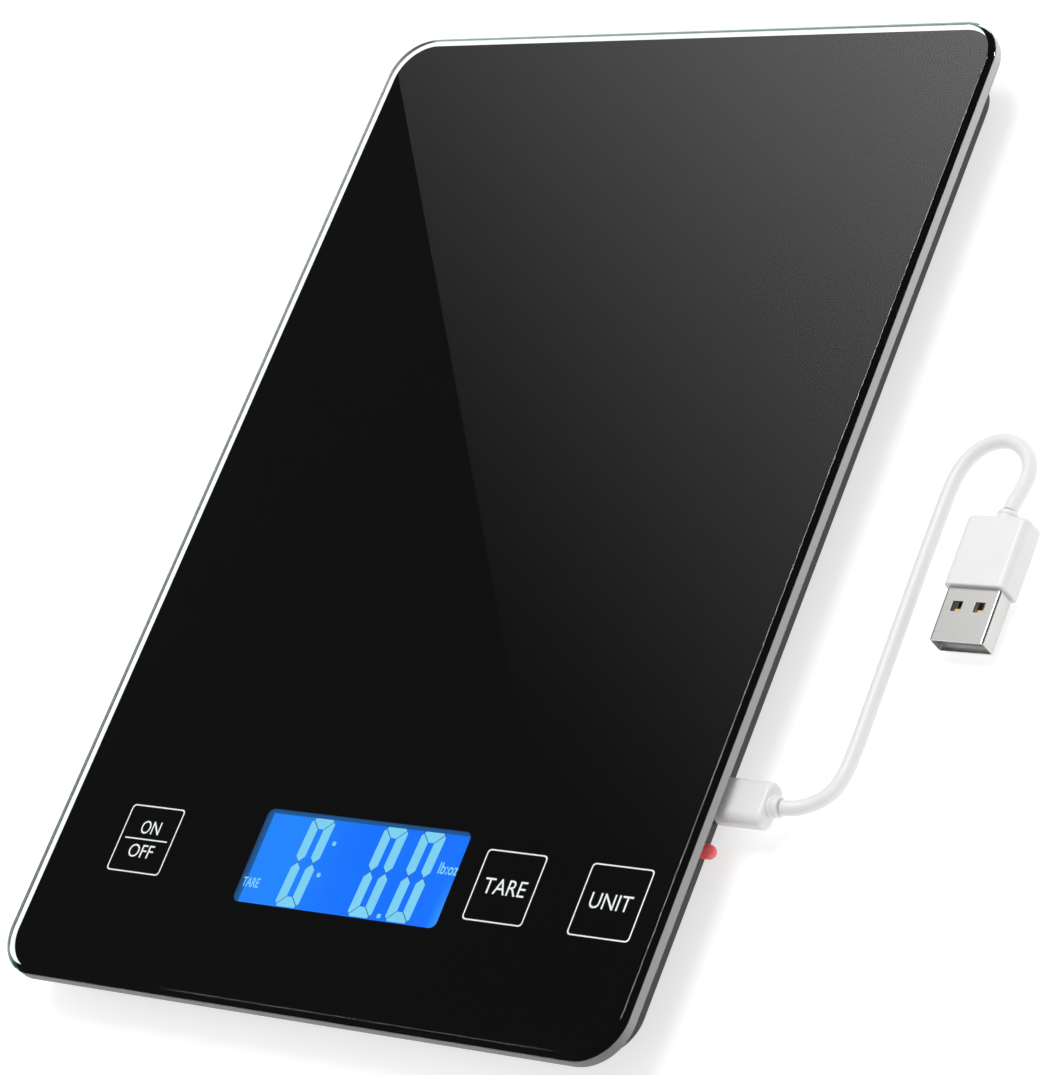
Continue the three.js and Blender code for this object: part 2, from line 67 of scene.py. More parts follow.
Mesh = bmesh.types.BMesh
Edge = bmesh.types.BMEdge
Socket = bpy.types.NodeSocket
Material = bpy.types.Material
Piece = bpy.types.Object
Flat = tuple[float, float]
Point = tuple[float, float, float]


class Body(Enum):
    """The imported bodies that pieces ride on."""

    BASE = "base"
    LEAD = "charging_lead"


class Axis(Enum):
    """The axis that a piece which was built upright lies along."""

    X = 0
    Y = 1
    UP = 2

    @property
    def turn(self) -> Matrix:
        """The turn that lays an upright piece along it."""
        if self is Axis.UP:
            return Matrix.Identity(4)
        about, way = ("Y", 1) if self is Axis.X else ("X", -1)
        return Matrix.Rotation(way * math.pi / 2, 4, about)


@dataclass(frozen=True)
class Box:
    """A CAD node's box at rest, in metres."""

    low: Vector
    high: Vector

    @classmethod
    def of(cls, node: str) -> "Box":
        """The box of a node."""
        return cls(*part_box(node))

    @property
    def size(self) -> Vector:
        """The lengths of its sides."""
        return self.high - self.low

    @property
    def middle(self) -> Vector:
        """Its middle."""
        return (self.low + self.high) / 2

    def foot(self, axis: Axis = Axis.UP) -> Vector:
        """The middle of its first end along an axis."""
        at = self.middle
        at[axis.value] = self.low[axis.value]
        return at


# ---- mesh helpers ----------------------------------------------------------------------------


def bevel(bm: Mesh, edges: Iterable[Edge], offset: float, segments: int) -> None:
    """Rounds edges.

    Args:
        bm: The mesh.
        edges: The edges to round.
        offset: How far the rounding reaches from each edge, in metres.
        segments: How many strips the rounding has.
    """
    bmesh.ops.bevel(
        bm, geom=list(edges), offset=offset, offset_type="OFFSET", segments=segments,
        profile=0.5, affect="EDGES", clamp_overlap=True, material=-1,
    )


def level_edges(bm: Mesh, height: float) -> list[Edge]:
    """The edges whose two ends are both at a height."""
    return [e for e in bm.edges if all(abs(v.co.z - height) < SAME_HEIGHT for v in e.verts)]


def rim_edges(bm: Mesh, height: float) -> list[Edge]:
    """The edges at a height where a level face meets one that isn't level."""
    def is_rim(edge: Edge) -> bool:
        """Whether just one of the edge's two faces is level."""
        level = [abs(face.normal.z) > 0.999 for face in edge.link_faces]
        return len(level) == 2 and level[0] != level[1]

    return [edge for edge in level_edges(bm, height) if is_rim(edge)]


def raise_face(bm: Mesh, face: bmesh.types.BMFace, height: float) -> None:
    """Makes a closed block of a level face by drawing a copy of it upwards."""
    made = bmesh.ops.extrude_face_region(bm, geom=[face], use_keep_orig=True)["geom"]
    verts = [g for g in made if isinstance(g, bmesh.types.BMVert)]
    bmesh.ops.translate(bm, vec=(0, 0, height), verts=verts)
    bmesh.ops.recalc_face_normals(bm, faces=bm.faces)


def plate_mesh(
    width: float, length: float, corner: float, height: float, segments: int = 12,
    low: tuple[float, int] = (0, 0), high: tuple[float, int] = (0, 0),
) -> Mesh:
    """A block with round upright corners, standing on the origin.

    Args:
        width: Its size along X.
        length: Its size along Y.
        corner: The radius of its upright corners.
        height: Its size along Z.
        segments: How many strips each corner has.
        low: The rounding of its lower rim, and its strips.
        high: The same of its upper rim.

    Returns:
        The closed mesh.
    """
    bm = bmesh.new()
    bmesh.ops.create_grid(bm, x_segments=1, y_segments=1, size=0.5)
    bmesh.ops.scale(bm, vec=(width, length, 1), verts=bm.verts)
    if corner > 0:
        bmesh.ops.bevel(
            bm, geom=bm.verts[:], offset=corner, offset_type="OFFSET", segments=segments,
            profile=0.5, affect="VERTICES", clamp_overlap=False, material=-1,
        )
    bm.faces.ensure_lookup_table()
    raise_face(bm, bm.faces[0], height)
    for (rounding, strips), at in ((high, height), (low, 0)):
        if rounding:
            bevel(bm, rim_edges(bm, at), rounding, strips)
    return bm


def turned_mesh(profile: Sequence[Flat], steps: int = 64) -> Mesh:
    """A turned piece about the upright axis.

    Args:
        profile: The outline's (radius, height) points, which starts and ends on the axis.
        steps: How many strips go round it.

    Returns:
        The closed mesh.
    """
    bm = bmesh.new()
    verts = [bm.verts.new((radius, 0, height)) for radius, height in profile]
    edges = [bm.edges.new(pair) for pair in zip(verts, verts[1:])]
    bmesh.ops.spin(
        bm, geom=verts + edges, cent=(0, 0, 0), axis=(0, 0, 1), dvec=(0, 0, 0),
        angle=2 * math.pi, steps=steps, use_merge=True,
    )
    bmesh.ops.remove_doubles(bm, verts=bm.verts, dist=MERGE)
    bmesh.ops.recalc_face_normals(bm, faces=bm.faces)
    return bm


def placed(bm: Mesh, at: Vector | Point, axis: Axis = Axis.UP) -> Mesh:
    """Turns an upright mesh to its axis and moves it into place."""
    bmesh.ops.transform(bm, matrix=Matrix.Translation(Vector(at)) @ axis.turn, verts=bm.verts)
    return bm


def pillar(radius: float, at: Vector | Point, height: float, steps: int = 40, axis: Axis = Axis.UP) -> Mesh:
    """A round block that stands on a place, along an axis."""
    return placed(turned_mesh([(0, 0), (radius, 0), (radius, height), (0, height)], steps), at, axis)


def join_meshes(parts: Iterable[Mesh]) -> Mesh:
    """Puts several meshes into one and frees them."""
    whole = bmesh.new()
    for part in parts:
        scratch = bpy.data.meshes.new("scratch")
        part.to_mesh(scratch)
        part.free()
        whole.from_mesh(scratch)
        bpy.data.meshes.remove(scratch)
    return whole


def carved(bm: Mesh, cutters: Iterable[Mesh]) -> Mesh:
    """Cuts other closed meshes out of one.

    Args:
        bm: The mesh to cut, which is freed.
        cutters: The meshes to take away, which are freed.

    Returns:
        The cut mesh.
    """
    def temporary(name: str, source: Mesh) -> Piece:
        """A passing object for a mesh, which is freed."""
        mesh = bpy.data.meshes.new(name)
        source.to_mesh(mesh)
        source.free()
        obj = bpy.data.objects.new(name, mesh)
        bpy.context.scene.collection.objects.link(obj)
        return obj

    target = temporary("target", bm)
    cutter = temporary("cutter", join_meshes(cutters))
    cut = target.modifiers.new("cut", "BOOLEAN")
    cut.operation = "DIFFERENCE"
    cut.solver = "EXACT"
    cut.use_self = True
    cut.object = cutter
    result = bmesh.new()
    result.from_object(target, bpy.context.evaluated_depsgraph_get())
    for obj in (target, cutter):
        mesh = obj.data
        bpy.data.objects.remove(obj)
        bpy.data.meshes.remove(mesh)
    bmesh.ops.remove_doubles(result, verts=result.verts, dist=MERGE)
    bmesh.ops.dissolve_degenerate(result, dist=MERGE, edges=result.edges)
    return result


# ---- shader nodes ----------------------------------------------------------------------------


class Nodes:
    """Adds and links the nodes of a material, a world or a group."""

    def __init__(self, tree: bpy.types.NodeTree) -> None:
        """Takes the tree that it builds."""
        self.tree = tree

    def fill(self, node: bpy.types.Node, inputs: dict) -> None:
        """Sets inputs of a node, each by its name or number: to a value, or to the output that feeds it."""
        for key, value in inputs.items():
            if isinstance(value, Socket):
                self.tree.links.new(value, node.inputs[key])
            else:
                node.inputs[key].default_value = value

    def add(self, kind: str, inputs: dict | None = None, **settings: object) -> bpy.types.Node:
        """Adds a node.

        Args:
            kind: Its type, without the ShaderNode that the type starts with.
            inputs: What its inputs take, as fill does.
            settings: Its own properties.

        Returns:
            The node.
        """
        node = self.tree.nodes.new("ShaderNode" + kind)
        for name, value in settings.items():
            setattr(node, name, value)
        self.fill(node, inputs or {})
        return node

    def math(self, operation: str, first: object, second: object) -> Socket:
        """The result of a Math node on two sockets or numbers."""
        return self.add("Math", {0: first, 1: second}, operation=operation).outputs[0]

    def mix(self, factor: object, first: object, second: object) -> Socket:
        """A blend of two colours."""
        return self.add("Mix", {0: factor, 6: first, 7: second}, data_type="RGBA").outputs[2]

    def noise(self, scale: object, detail: float, vector: Socket) -> Socket:
        """The factor of a Noise texture on a vector."""
        node = self.add("TexNoise", {"Vector": vector, "Scale": scale, "Detail": detail})
        return node.outputs["Fac"]

    def ramp(self, value: Socket, start: float, end: float, kind: str = "SMOOTHSTEP") -> Socket:
        """A value as it goes from 0 at one reading to 1 at another."""
        inputs = {"Value": value, "From Min": start, "From Max": end}
        return self.add("MapRange", inputs, interpolation_type=kind).outputs["Result"]

    def scaled(self, vector: Socket, factor: Socket) -> Socket:
        """A vector or a colour times a factor."""
        return self.add("VectorMath", {0: vector, "Scale": factor}, operation="SCALE").outputs[0]

    def group(self, name: str, inputs: dict) -> dict[str, Socket]:
        """The outputs of a shared shader group."""
        return self.add("Group", inputs, node_tree=bpy.data.node_groups[name]).outputs

    def varied(self, base: Socket | float, value: Socket, share: float) -> Socket:
        """A base plus a share of a value."""
        return self.math("ADD", base, self.math("MULTIPLY", value, share))


FLOAT = "NodeSocketFloat"
COLOUR = "NodeSocketColor"
VECTOR = "NodeSocketVector"


def make_group(
    name: str, inputs: dict[str, str], outputs: dict[str, str], body: Callable[[Nodes, object], dict],
) -> None:
    """Makes a shader node group.

    Args:
        name: Its name.
        inputs: Each input's socket type.
        outputs: Each output's socket type.
        body: Adds the nodes, from the builder and the group's inputs, and gives what feeds each output.
    """
    group = bpy.data.node_groups.new(name, "ShaderNodeTree")
    for way, sockets in (("INPUT", inputs), ("OUTPUT", outputs)):
        for label, kind in sockets.items():
            group.interface.new_socket(label, in_out=way, socket_type=kind)
    build = Nodes(group)
    given = group.nodes.new("NodeGroupInput").outputs
    build.fill(group.nodes.new("NodeGroupOutput"), body(build, given))


def grain_nodes(build: Nodes, given: dict[str, Socket]) -> dict[str, Socket]:
    """The fine spark-eroded grain of moulded plastic and rubber, with a slow change of tone."""
    slow = build.math("SUBTRACT", build.noise(45, 3, given["Vector"]), 0.5)
    shift = build.math("MULTIPLY", slow, given["Tone"])
    return {
        "Colour": build.scaled(given["Colour"], build.varied(1.0, shift, 2.0)),
        "Roughness": build.varied(given["Roughness"], shift, 0.8),
        "Height": build.noise(given["Grain"], 4, given["Vector"]),
    }


def metal_nodes(build: Nodes, given: dict[str, Socket]) -> dict[str, Socket]:
    """The fine lines along one direction that rolled or drawn metal has."""
    inputs = {0: given["Vector"], 1: given["Stretch"]}
    along = build.add("VectorMath", inputs, operation="MULTIPLY").outputs[0]
    lines = build.noise(3000, 3, along)
    centred = build.math("SUBTRACT", lines, 0.5)
    return {
        "Colour": build.scaled(given["Colour"], build.varied(1.0, centred, 0.08)),
        "Roughness": build.varied(given["Roughness"], centred, 0.12),
        "Height": lines,
    }


def smear_nodes(build: Nodes, given: dict[str, Socket]) -> dict[str, Socket]:
    """Faint wiped smears in the roughness."""
    stretch = {"Scale": (14, 50, 14), "Rotation": (0, 0, 0.5), "Vector": given["Vector"]}
    wiped = build.noise(1.0, 5, build.add("Mapping", stretch).outputs["Vector"])
    extra = build.math("MULTIPLY", build.ramp(wiped, 0.5, 0.75, "LINEAR"), given["Smear"])
    return {"Roughness": build.math("ADD", given["Roughness"], extra)}


def make_groups() -> None:
    """Makes the shader groups that the finishes share."""
    seen = {"Vector": VECTOR, "Colour": COLOUR, "Roughness": FLOAT}
    surface = {"Colour": COLOUR, "Roughness": FLOAT, "Height": FLOAT}
    make_group("moulded grain", {**seen, "Grain": FLOAT, "Tone": FLOAT}, surface, grain_nodes)
    make_group("drawn metal", {**seen, "Stretch": VECTOR}, surface, metal_nodes)
    smeared = {"Vector": VECTOR, "Roughness": FLOAT, "Smear": FLOAT}
    make_group("handling marks", smeared, {"Roughness": FLOAT}, smear_nodes)


# ---- finishes --------------------------------------------------------------------------------


def start_material(name: str) -> tuple[Material, Nodes, bpy.types.Node]:
    """Starts a material, and gives it with its node builder and its Principled shader."""
    material = bpy.data.materials.new(name)
    material.use_nodes = True
    return material, Nodes(material.node_tree), material.node_tree.nodes["Principled BSDF"]


@dataclass(frozen=True)
class Finish:
    """A procedural finish on Object coordinates. Each kind says what feeds the shader."""

    name: str

    def feed(self, build: Nodes, place: Socket) -> dict:
        """Adds the finish's nodes.

        Args:
            build: The material's node builder.
            place: The Object coordinates.

        Returns:
            What the shader's inputs take.
        """
        raise NotImplementedError

    def build(self) -> Material:
        """Makes the material."""
        material, build, shader = start_material(self.name)
        place = build.add("TexCoord").outputs["Object"]
        build.fill(shader, self.feed(build, place))
        return material


@dataclass(frozen=True)
class Relief(Finish):
    """A finish whose colour, roughness and height come from one shader group."""

    colour: Point
    roughness: float

    def surface(self, build: Nodes, place: Socket, group: str, more: dict, depth: float) -> dict:
        """Adds the group and the bump.

        Args:
            build: The material's node builder.
            place: The Object coordinates.
            group: The shader group's name.
            more: What the group's own inputs take.
            depth: How deep the bump is, in metres.

        Returns:
            What the shader's inputs take.
        """
        inputs = {"Vector": place, "Colour": (*self.colour, 1), "Roughness": self.roughness, **more}
        made = build.group(group, inputs)
        bump = build.add("Bump", {"Height": made["Height"], "Strength": self.bump, "Distance": depth})
        return {
            "Base Color": made["Colour"], "Roughness": made["Roughness"], "Normal": bump.outputs["Normal"],
        }


@dataclass(frozen=True)
class Moulded(Relief):
    """Moulded plastic or rubber with a fine grain."""

    grain: float = 2500.0
    tone: float = 0.08
    bump: float = 0.04
    depth: float = 0.2 * MM
    subsurface: float = 0.0
    scatter: float = 2 * MM

    def feed(self, build: Nodes, place: Socket) -> dict:
        """What feeds the shader."""
        own = {"Grain": self.grain, "Tone": self.tone}
        return {
            **self.surface(build, place, "moulded grain", own, self.depth),
            "Subsurface Weight": self.subsurface, "Subsurface Scale": self.scatter,
        }


@dataclass(frozen=True)
class Metal(Relief):
    """Plated or rolled metal with fine lines along one axis."""

    stretch: Point = (0.05, 1.0, 1.0)
    bump: float = 0.003
    depth: float = 0.1 * MM

    def feed(self, build: Nodes, place: Socket) -> dict:
        """What feeds the shader."""
        own = {"Stretch": self.stretch}
        return {**self.surface(build, place, "drawn metal", own, self.depth), "Metallic": 1}


@dataclass(frozen=True)
class ClearGlass(Finish):
    """Polished clear glass that lets light through to what is under it."""

    tint: Point = (0.93, 0.985, 0.965)
    roughness: float = 0.0
    smear: float = 0.015
    transmission: float = 1.0
    ior: float = 1.5

    def feed(self, build: Nodes, place: Socket) -> dict:
        """What feeds the shader. The glass lets the light's rays pass, so it throws no shadow."""
        inputs = {"Vector": place, "Roughness": self.roughness, "Smear": self.smear}
        deep = tuple(0.97 * value for value in self.tint)
        shadow = build.add("LightPath").outputs["Is Shadow Ray"]
        return {
            "Roughness": build.group("handling marks", inputs)["Roughness"],
            "Base Color": build.mix(build.noise(30, 2, place), (*self.tint, 1), (*deep, 1)),
            "Transmission Weight": self.transmission, "IOR": self.ior,
            "Alpha": build.math("SUBTRACT", 1.0, shadow),
        }


@dataclass(frozen=True)
class Ink(Finish):
    """Enamel fired on the underside of the glass: no gloss of its own, and faint flow in the tone."""

    colour: Point
    # The glow of the white print and of the display's well is painted light; the display's marks glow with
    # the display's own light.
    glow: float = 0.0
    unlit: float = 1.0

    def feed(self, build: Nodes, place: Socket) -> dict:
        """What feeds the shader."""
        darker = tuple(0.88 * value for value in self.colour)
        tone = build.mix(build.noise(160, 4, place), (*self.colour, 1), (*darker, 1))
        base = build.mix(self.unlit, BLACK, tone)
        fed = {"Base Color": base, "Roughness": 0.7, "Specular IOR Level": 0.0}
        if self.glow:
            fed.update({"Emission Color": tone, "Emission Strength": self.glow})
        return fed


@dataclass(frozen=True)
class BacklitDisplay(Finish):
    """The lit face of the display: blue, paler along its left end and its lower right corner."""

    middle: Point
    half_width: float
    shadow_from: Flat
    shade: Point = (0.012, 0.09, 0.28)
    deep: Point = (0.003, 0.15, 1.0)
    pale: Point = (0.013, 0.23, 1.0)
    edge: Point = (0.06, 0.42, 1.0)
    soft: float = 0.12 * MM
    unlit: float = 0.06
    glow: float = 1.08

    def feed(self, build: Nodes, place: Socket) -> dict:
        """What feeds the shader."""
        shift = {"Location": tuple(-value for value in self.middle), "Vector": place}
        centred = build.add("Mapping", shift).outputs["Vector"]
        split = build.add("SeparateXYZ", {"Vector": centred}).outputs
        across = build.math("DIVIDE", split["X"], self.half_width)
        left = build.varied(build.ramp(across, 0.1, -0.9), build.noise(70, 3, place), 0.35)
        face = build.mix(build.math("MINIMUM", left, 1.0), (*self.deep, 1), (*self.pale, 1))
        right, low = build.ramp(across, 0.8, 1.02), build.ramp(split["Y"], 4 * MM, -9 * MM)
        face = build.mix(build.math("MULTIPLY", right, low), face, (*self.edge, 1))
        # The window's own shadow along the left and the far side.
        sides = [
            build.ramp(split[axis], start - way * self.soft, start + way * self.soft)
            for axis, start, way in (("X", -self.shadow_from[0], -1), ("Y", self.shadow_from[1], 1))
        ]
        face = build.mix(build.math("MAXIMUM", *sides), face, (*self.shade, 1))
        return {
            "Emission Color": face, "Emission Strength": self.glow,
            "Base Color": build.mix(self.unlit, BLACK, face), "Roughness": 0.3, "Specular IOR Level": 0.0,
        }


@dataclass(frozen=True)
class Lamp(Finish):
    """Clear red plastic with the light on inside it."""

    colour: Point = (0.55, 0.006, 0.014)
    glow: float = 0.35

    def feed(self, build: Nodes, place: Socket) -> dict:
        """What feeds the shader."""
        hot = tuple(min(1.0, value + 0.16) for value in self.colour)
        tone = build.mix(build.noise(900, 2, place), (*self.colour, 1), (*hot, 1))
        return {
            "Base Color": tone, "Emission Color": tone, "Emission Strength": self.glow,
            "Roughness": 0.12, "Coat Weight": 0.25,
        }


@dataclass(frozen=True)
class CircuitBoard(Finish):
    """Green solder mask with paler copper tracks under it."""

    mask: Point = (0.015, 0.12, 0.05)
    track: Point = (0.03, 0.2, 0.09)

    def feed(self, build: Nodes, place: Socket) -> dict:
        """What feeds the shader."""
        mask, track = (*self.mask, 1), (*self.track, 1)
        pattern = build.add("TexBrick", {
            "Scale": 260, "Mortar Size": 0.08, "Color1": mask, "Color2": mask, "Mortar": track,
            "Vector": place,
        })
        rough = build.varied(0.3, build.noise(300, 2, place), 0.2)
        return {"Base Color": pattern.outputs["Color"], "Roughness": rough}


def make_finishes() -> dict[str, Material]:
    """Makes every finish of the scale. Those with a slot's name cover that slot of the record."""
    window, panel = PrintSizes(), Box.of("lcd_panel")
    shadow = (0.85 * MM, 0.6 * MM)  # the width of the window's shadow on the display's left and far side
    shadow_from = (window.window_width / 2 - shadow[0], window.window_length / 2 - shadow[1])
    white = (0.85, 0.85, 0.845)
    finishes = {
        "clear_glass": ClearGlass("polished glass"),
        "ground_glass": ClearGlass("ground glass edge", (0.16, 0.165, 0.164), 0.55, 0.05, transmission=0.1),
        # The far bevel's green is the glass's own tint, but its dark, opaque teal is painted shade, set only
        # where the bevels face away from the camera.
        "green_edge": ClearGlass("far bevel", (0.004, 0.07, 0.055), 0.08, 0.02, transmission=0.0),
        "black_print": Ink("black enamel", (0.002, 0.002, 0.0022)),
        # The white enamel's glow is painted light: it stands for the lamps' light that reaches the ink
        # through the glass.
        "white_print": Ink("white enamel", (0.8, 0.8, 0.8), glow=0.45),
        "foam_tape": Moulded("foam tape", (0.02, 0.02, 0.021), 0.9, grain=900, bump=0.3),
        "grey_shell": Moulded("grey shell", (0.04, 0.041, 0.043), 0.55),
        "light_plastic": Moulded("light plastic", (0.6, 0.6, 0.58), 0.5),
        "foot_rubber": Moulded("foot rubber", (0.028, 0.028, 0.03), 0.8, grain=1500, bump=0.15),
        "white_plastic": Moulded("white plastic", white, 0.35, tone=0.03, bump=0.02, subsurface=0.1),
        "cable_sleeve": Moulded("cable sleeve", white, 0.38, 1800, tone=0.03, bump=0.03, subsurface=0.1),
        "contact_plastic": Moulded("contact plastic", (0.03, 0.03, 0.032), 0.45),
        "lead_sleeve": Moulded("lead sleeve", (0.35, 0.02, 0.02), 0.45, tone=0.05),
        "diffuser": Moulded("diffuser", (0.7, 0.8, 0.95), 0.4, tone=0.02),
        "battery_foil": Metal("battery foil", (0.6, 0.61, 0.63), 0.32, stretch=(1, 0.1, 1), bump=0.12),
        "bright_steel": Metal("bright steel", (0.66, 0.655, 0.645), 0.3),
        "spring_brass": Metal("spring brass", (0.78, 0.55, 0.24), 0.2),
        "gold": Metal("gold contacts", (0.9, 0.62, 0.25), 0.18, stretch=(1, 0.05, 1)),
        "circuit_board": CircuitBoard("circuit board"),
        "red_lamp": Lamp("charge lamp"),
        "display": BacklitDisplay("backlit display", tuple(panel.middle), panel.size.x / 2, shadow_from),
        "segment": Ink("lit segments", (0.24, 0.7, 1.0), glow=1.05, unlit=0.05),
        "seam": Ink("segment seams", (0.005, 0.055, 0.2), glow=1.0, unlit=0.05),
        # The well's dark blue glow is painted light: it stands for the display's light on the shaded walls of
        # its frame.
        "well": Ink("display well", (0.012, 0.09, 0.28), glow=0.9, unlit=0.1),
    }
    make_groups()
    return {label: finish.build() for label, finish in finishes.items()}


# ---- camera ----------------------------------------------------------------------------------


@dataclass(frozen=True)
class CameraSpec:
    """Where the camera stands and what it looks at, in metres and degrees; its film in millimetres."""

    aim: Point = (0.01134, -0.00913, 0.0156)
    distance: float = 0.84226
    azimuth: float = 59.539
    elevation: float = 43.282
    roll: float = -45.784
    lens: float = 140.85
    film: float = 36
    near: float = 0.01

    def make(self) -> None:
        """Makes the camera and sets it as the scene's own."""
        azimuth, elevation, roll = (math.radians(a) for a in (self.azimuth, self.elevation, self.roll))
        right = Vector((math.cos(azimuth), math.sin(azimuth), 0))
        back = Vector((
            math.sin(azimuth) * math.cos(elevation),
            -math.cos(azimuth) * math.cos(elevation),
            math.sin(elevation),
        ))
        across = right * math.cos(roll) + back.cross(right) * math.sin(roll)
        turned = Matrix((across, back.cross(across), back)).transposed().to_4x4()
        data = bpy.data.cameras.new("camera")
        data.lens = self.lens
        data.sensor_width = self.film
        data.clip_start = self.near
        camera = bpy.data.objects.new("camera", data)
        bpy.context.scene.collection.objects.link(camera)
        camera.matrix_world = Matrix.Translation(Vector(self.aim) + back * self.distance) @ turned
        bpy.context.scene.camera = camera


# ---- assemblies ------------------------------------------------------------------------------


@dataclass
class Assembly:
    """Pieces that are made together and ride on one body."""

    finishes: dict[str, Material]
    BODY = Body.BASE

    def enter(self, piece: Piece, slot: str, nodes: Sequence[str]) -> Piece:
        """Puts a piece in the scene and says what it is.

        Args:
            piece: The piece.
            slot: The record's slot that its finish stands for; not used.
            nodes: The CAD nodes that it stands for.

        Returns:
            The piece.
        """
        bpy.context.scene.collection.objects.link(piece)
        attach(piece, self.BODY.value)
        if nodes:
            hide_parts(*nodes)
        log.info("made %s, on %s, for %s", piece.name, self.BODY.value, ", ".join(nodes) or "detail")
        return piece

    def add(
        self, name: str, bm: Mesh, slot: str, *nodes: str,
        looks: Sequence[str] = (), smooth_under: float = 35,
    ) -> Piece:
        """Makes a finished mesh a piece of the object.

        Args:
            name: The piece's name.
            bm: Its mesh, already in place, which is freed.
            slot: The record's slot that its finish stands for.
            nodes: The CAD nodes that it stands for.
            looks: Its finish for each of its material indices, where that isn't the slot's own.
            smooth_under: The edges flatter than this many degrees are shaded smooth.

        Returns:
            The new piece.
        """
        mesh = bpy.data.meshes.new(name)
        bm.to_mesh(mesh)
        bm.free()
        mesh.shade_smooth()
        mesh.set_sharp_from_angle(angle=math.radians(smooth_under))
        for look in looks or (slot,):
            mesh.materials.append(self.finishes[look])
        piece = self.enter(bpy.data.objects.new(name, mesh), slot, nodes)
        # Face-weighted normals keep the broad faces flat beside their narrow roundings.
        piece.modifiers.new("weigh normals", "WEIGHTED_NORMAL").keep_sharp = True
        return piece

    def fit(self, name: str, bm: Mesh, slot: str, node: str, axis: Axis = Axis.UP, **more: object) -> Piece:
        """Stands an upright mesh in its CAD node's box, along an axis, and makes it a piece."""
        return self.add(name, placed(bm, Box.of(node).foot(axis), axis), slot, node, **more)


# ---- the charging lead -----------------------------------------------------------------------


@dataclass(frozen=True)
class LeadSizes:
    """Sizes of the charging lead that the CAD nodes don't give, in metres."""

    cord_radius: float = 1.5 * MM
    cord_length: float = 0.1145
    cord_steps: int = 6
    nose_corner: float = 1.15 * MM
    nose_rim: float = 0.15 * MM
    mouth: Flat = (1.3 * MM, 7.1 * MM)
    mouth_corner: float = 0.5 * MM
    mouth_short: float = 0.4 * MM  # how much shorter its cutter is than the nose
    grip_corner: float = 0.42  # as a share of the grip's thickness
    grip_rounding: float = 1.05 * MM
    collar_step: float = 0.3 * MM
    collar_rounding: float = 0.08 * MM
    block_corner: float = 1.6 * MM
    block_front: float = 0.35 * MM
    block_back: float = 1.2 * MM
    tube_corner: float = 0.6 * MM
    bore_corner: float = 0.35 * MM
    tube_end: float = 0.4 * MM
    sheet: float = 0.3 * MM
    window_side: float = 2.2 * MM
    window_spacing: float = 5.0 * MM
    window_back: float = 5.2 * MM
    contact_width: float = 1.0 * MM
    contact_spacing: float = 2.2 * MM
    contact_height: float = 0.15 * MM
    contact_sunk: float = 0.05 * MM
    contact_share: float = 0.8  # of the tongue's length
    insert_edge: float = 0.15 * MM
    spring: Flat = (1.54 * MM, 1.76 * MM)
    spring_sheet: float = 0.2 * MM
    spring_drop: float = 0.9 * MM


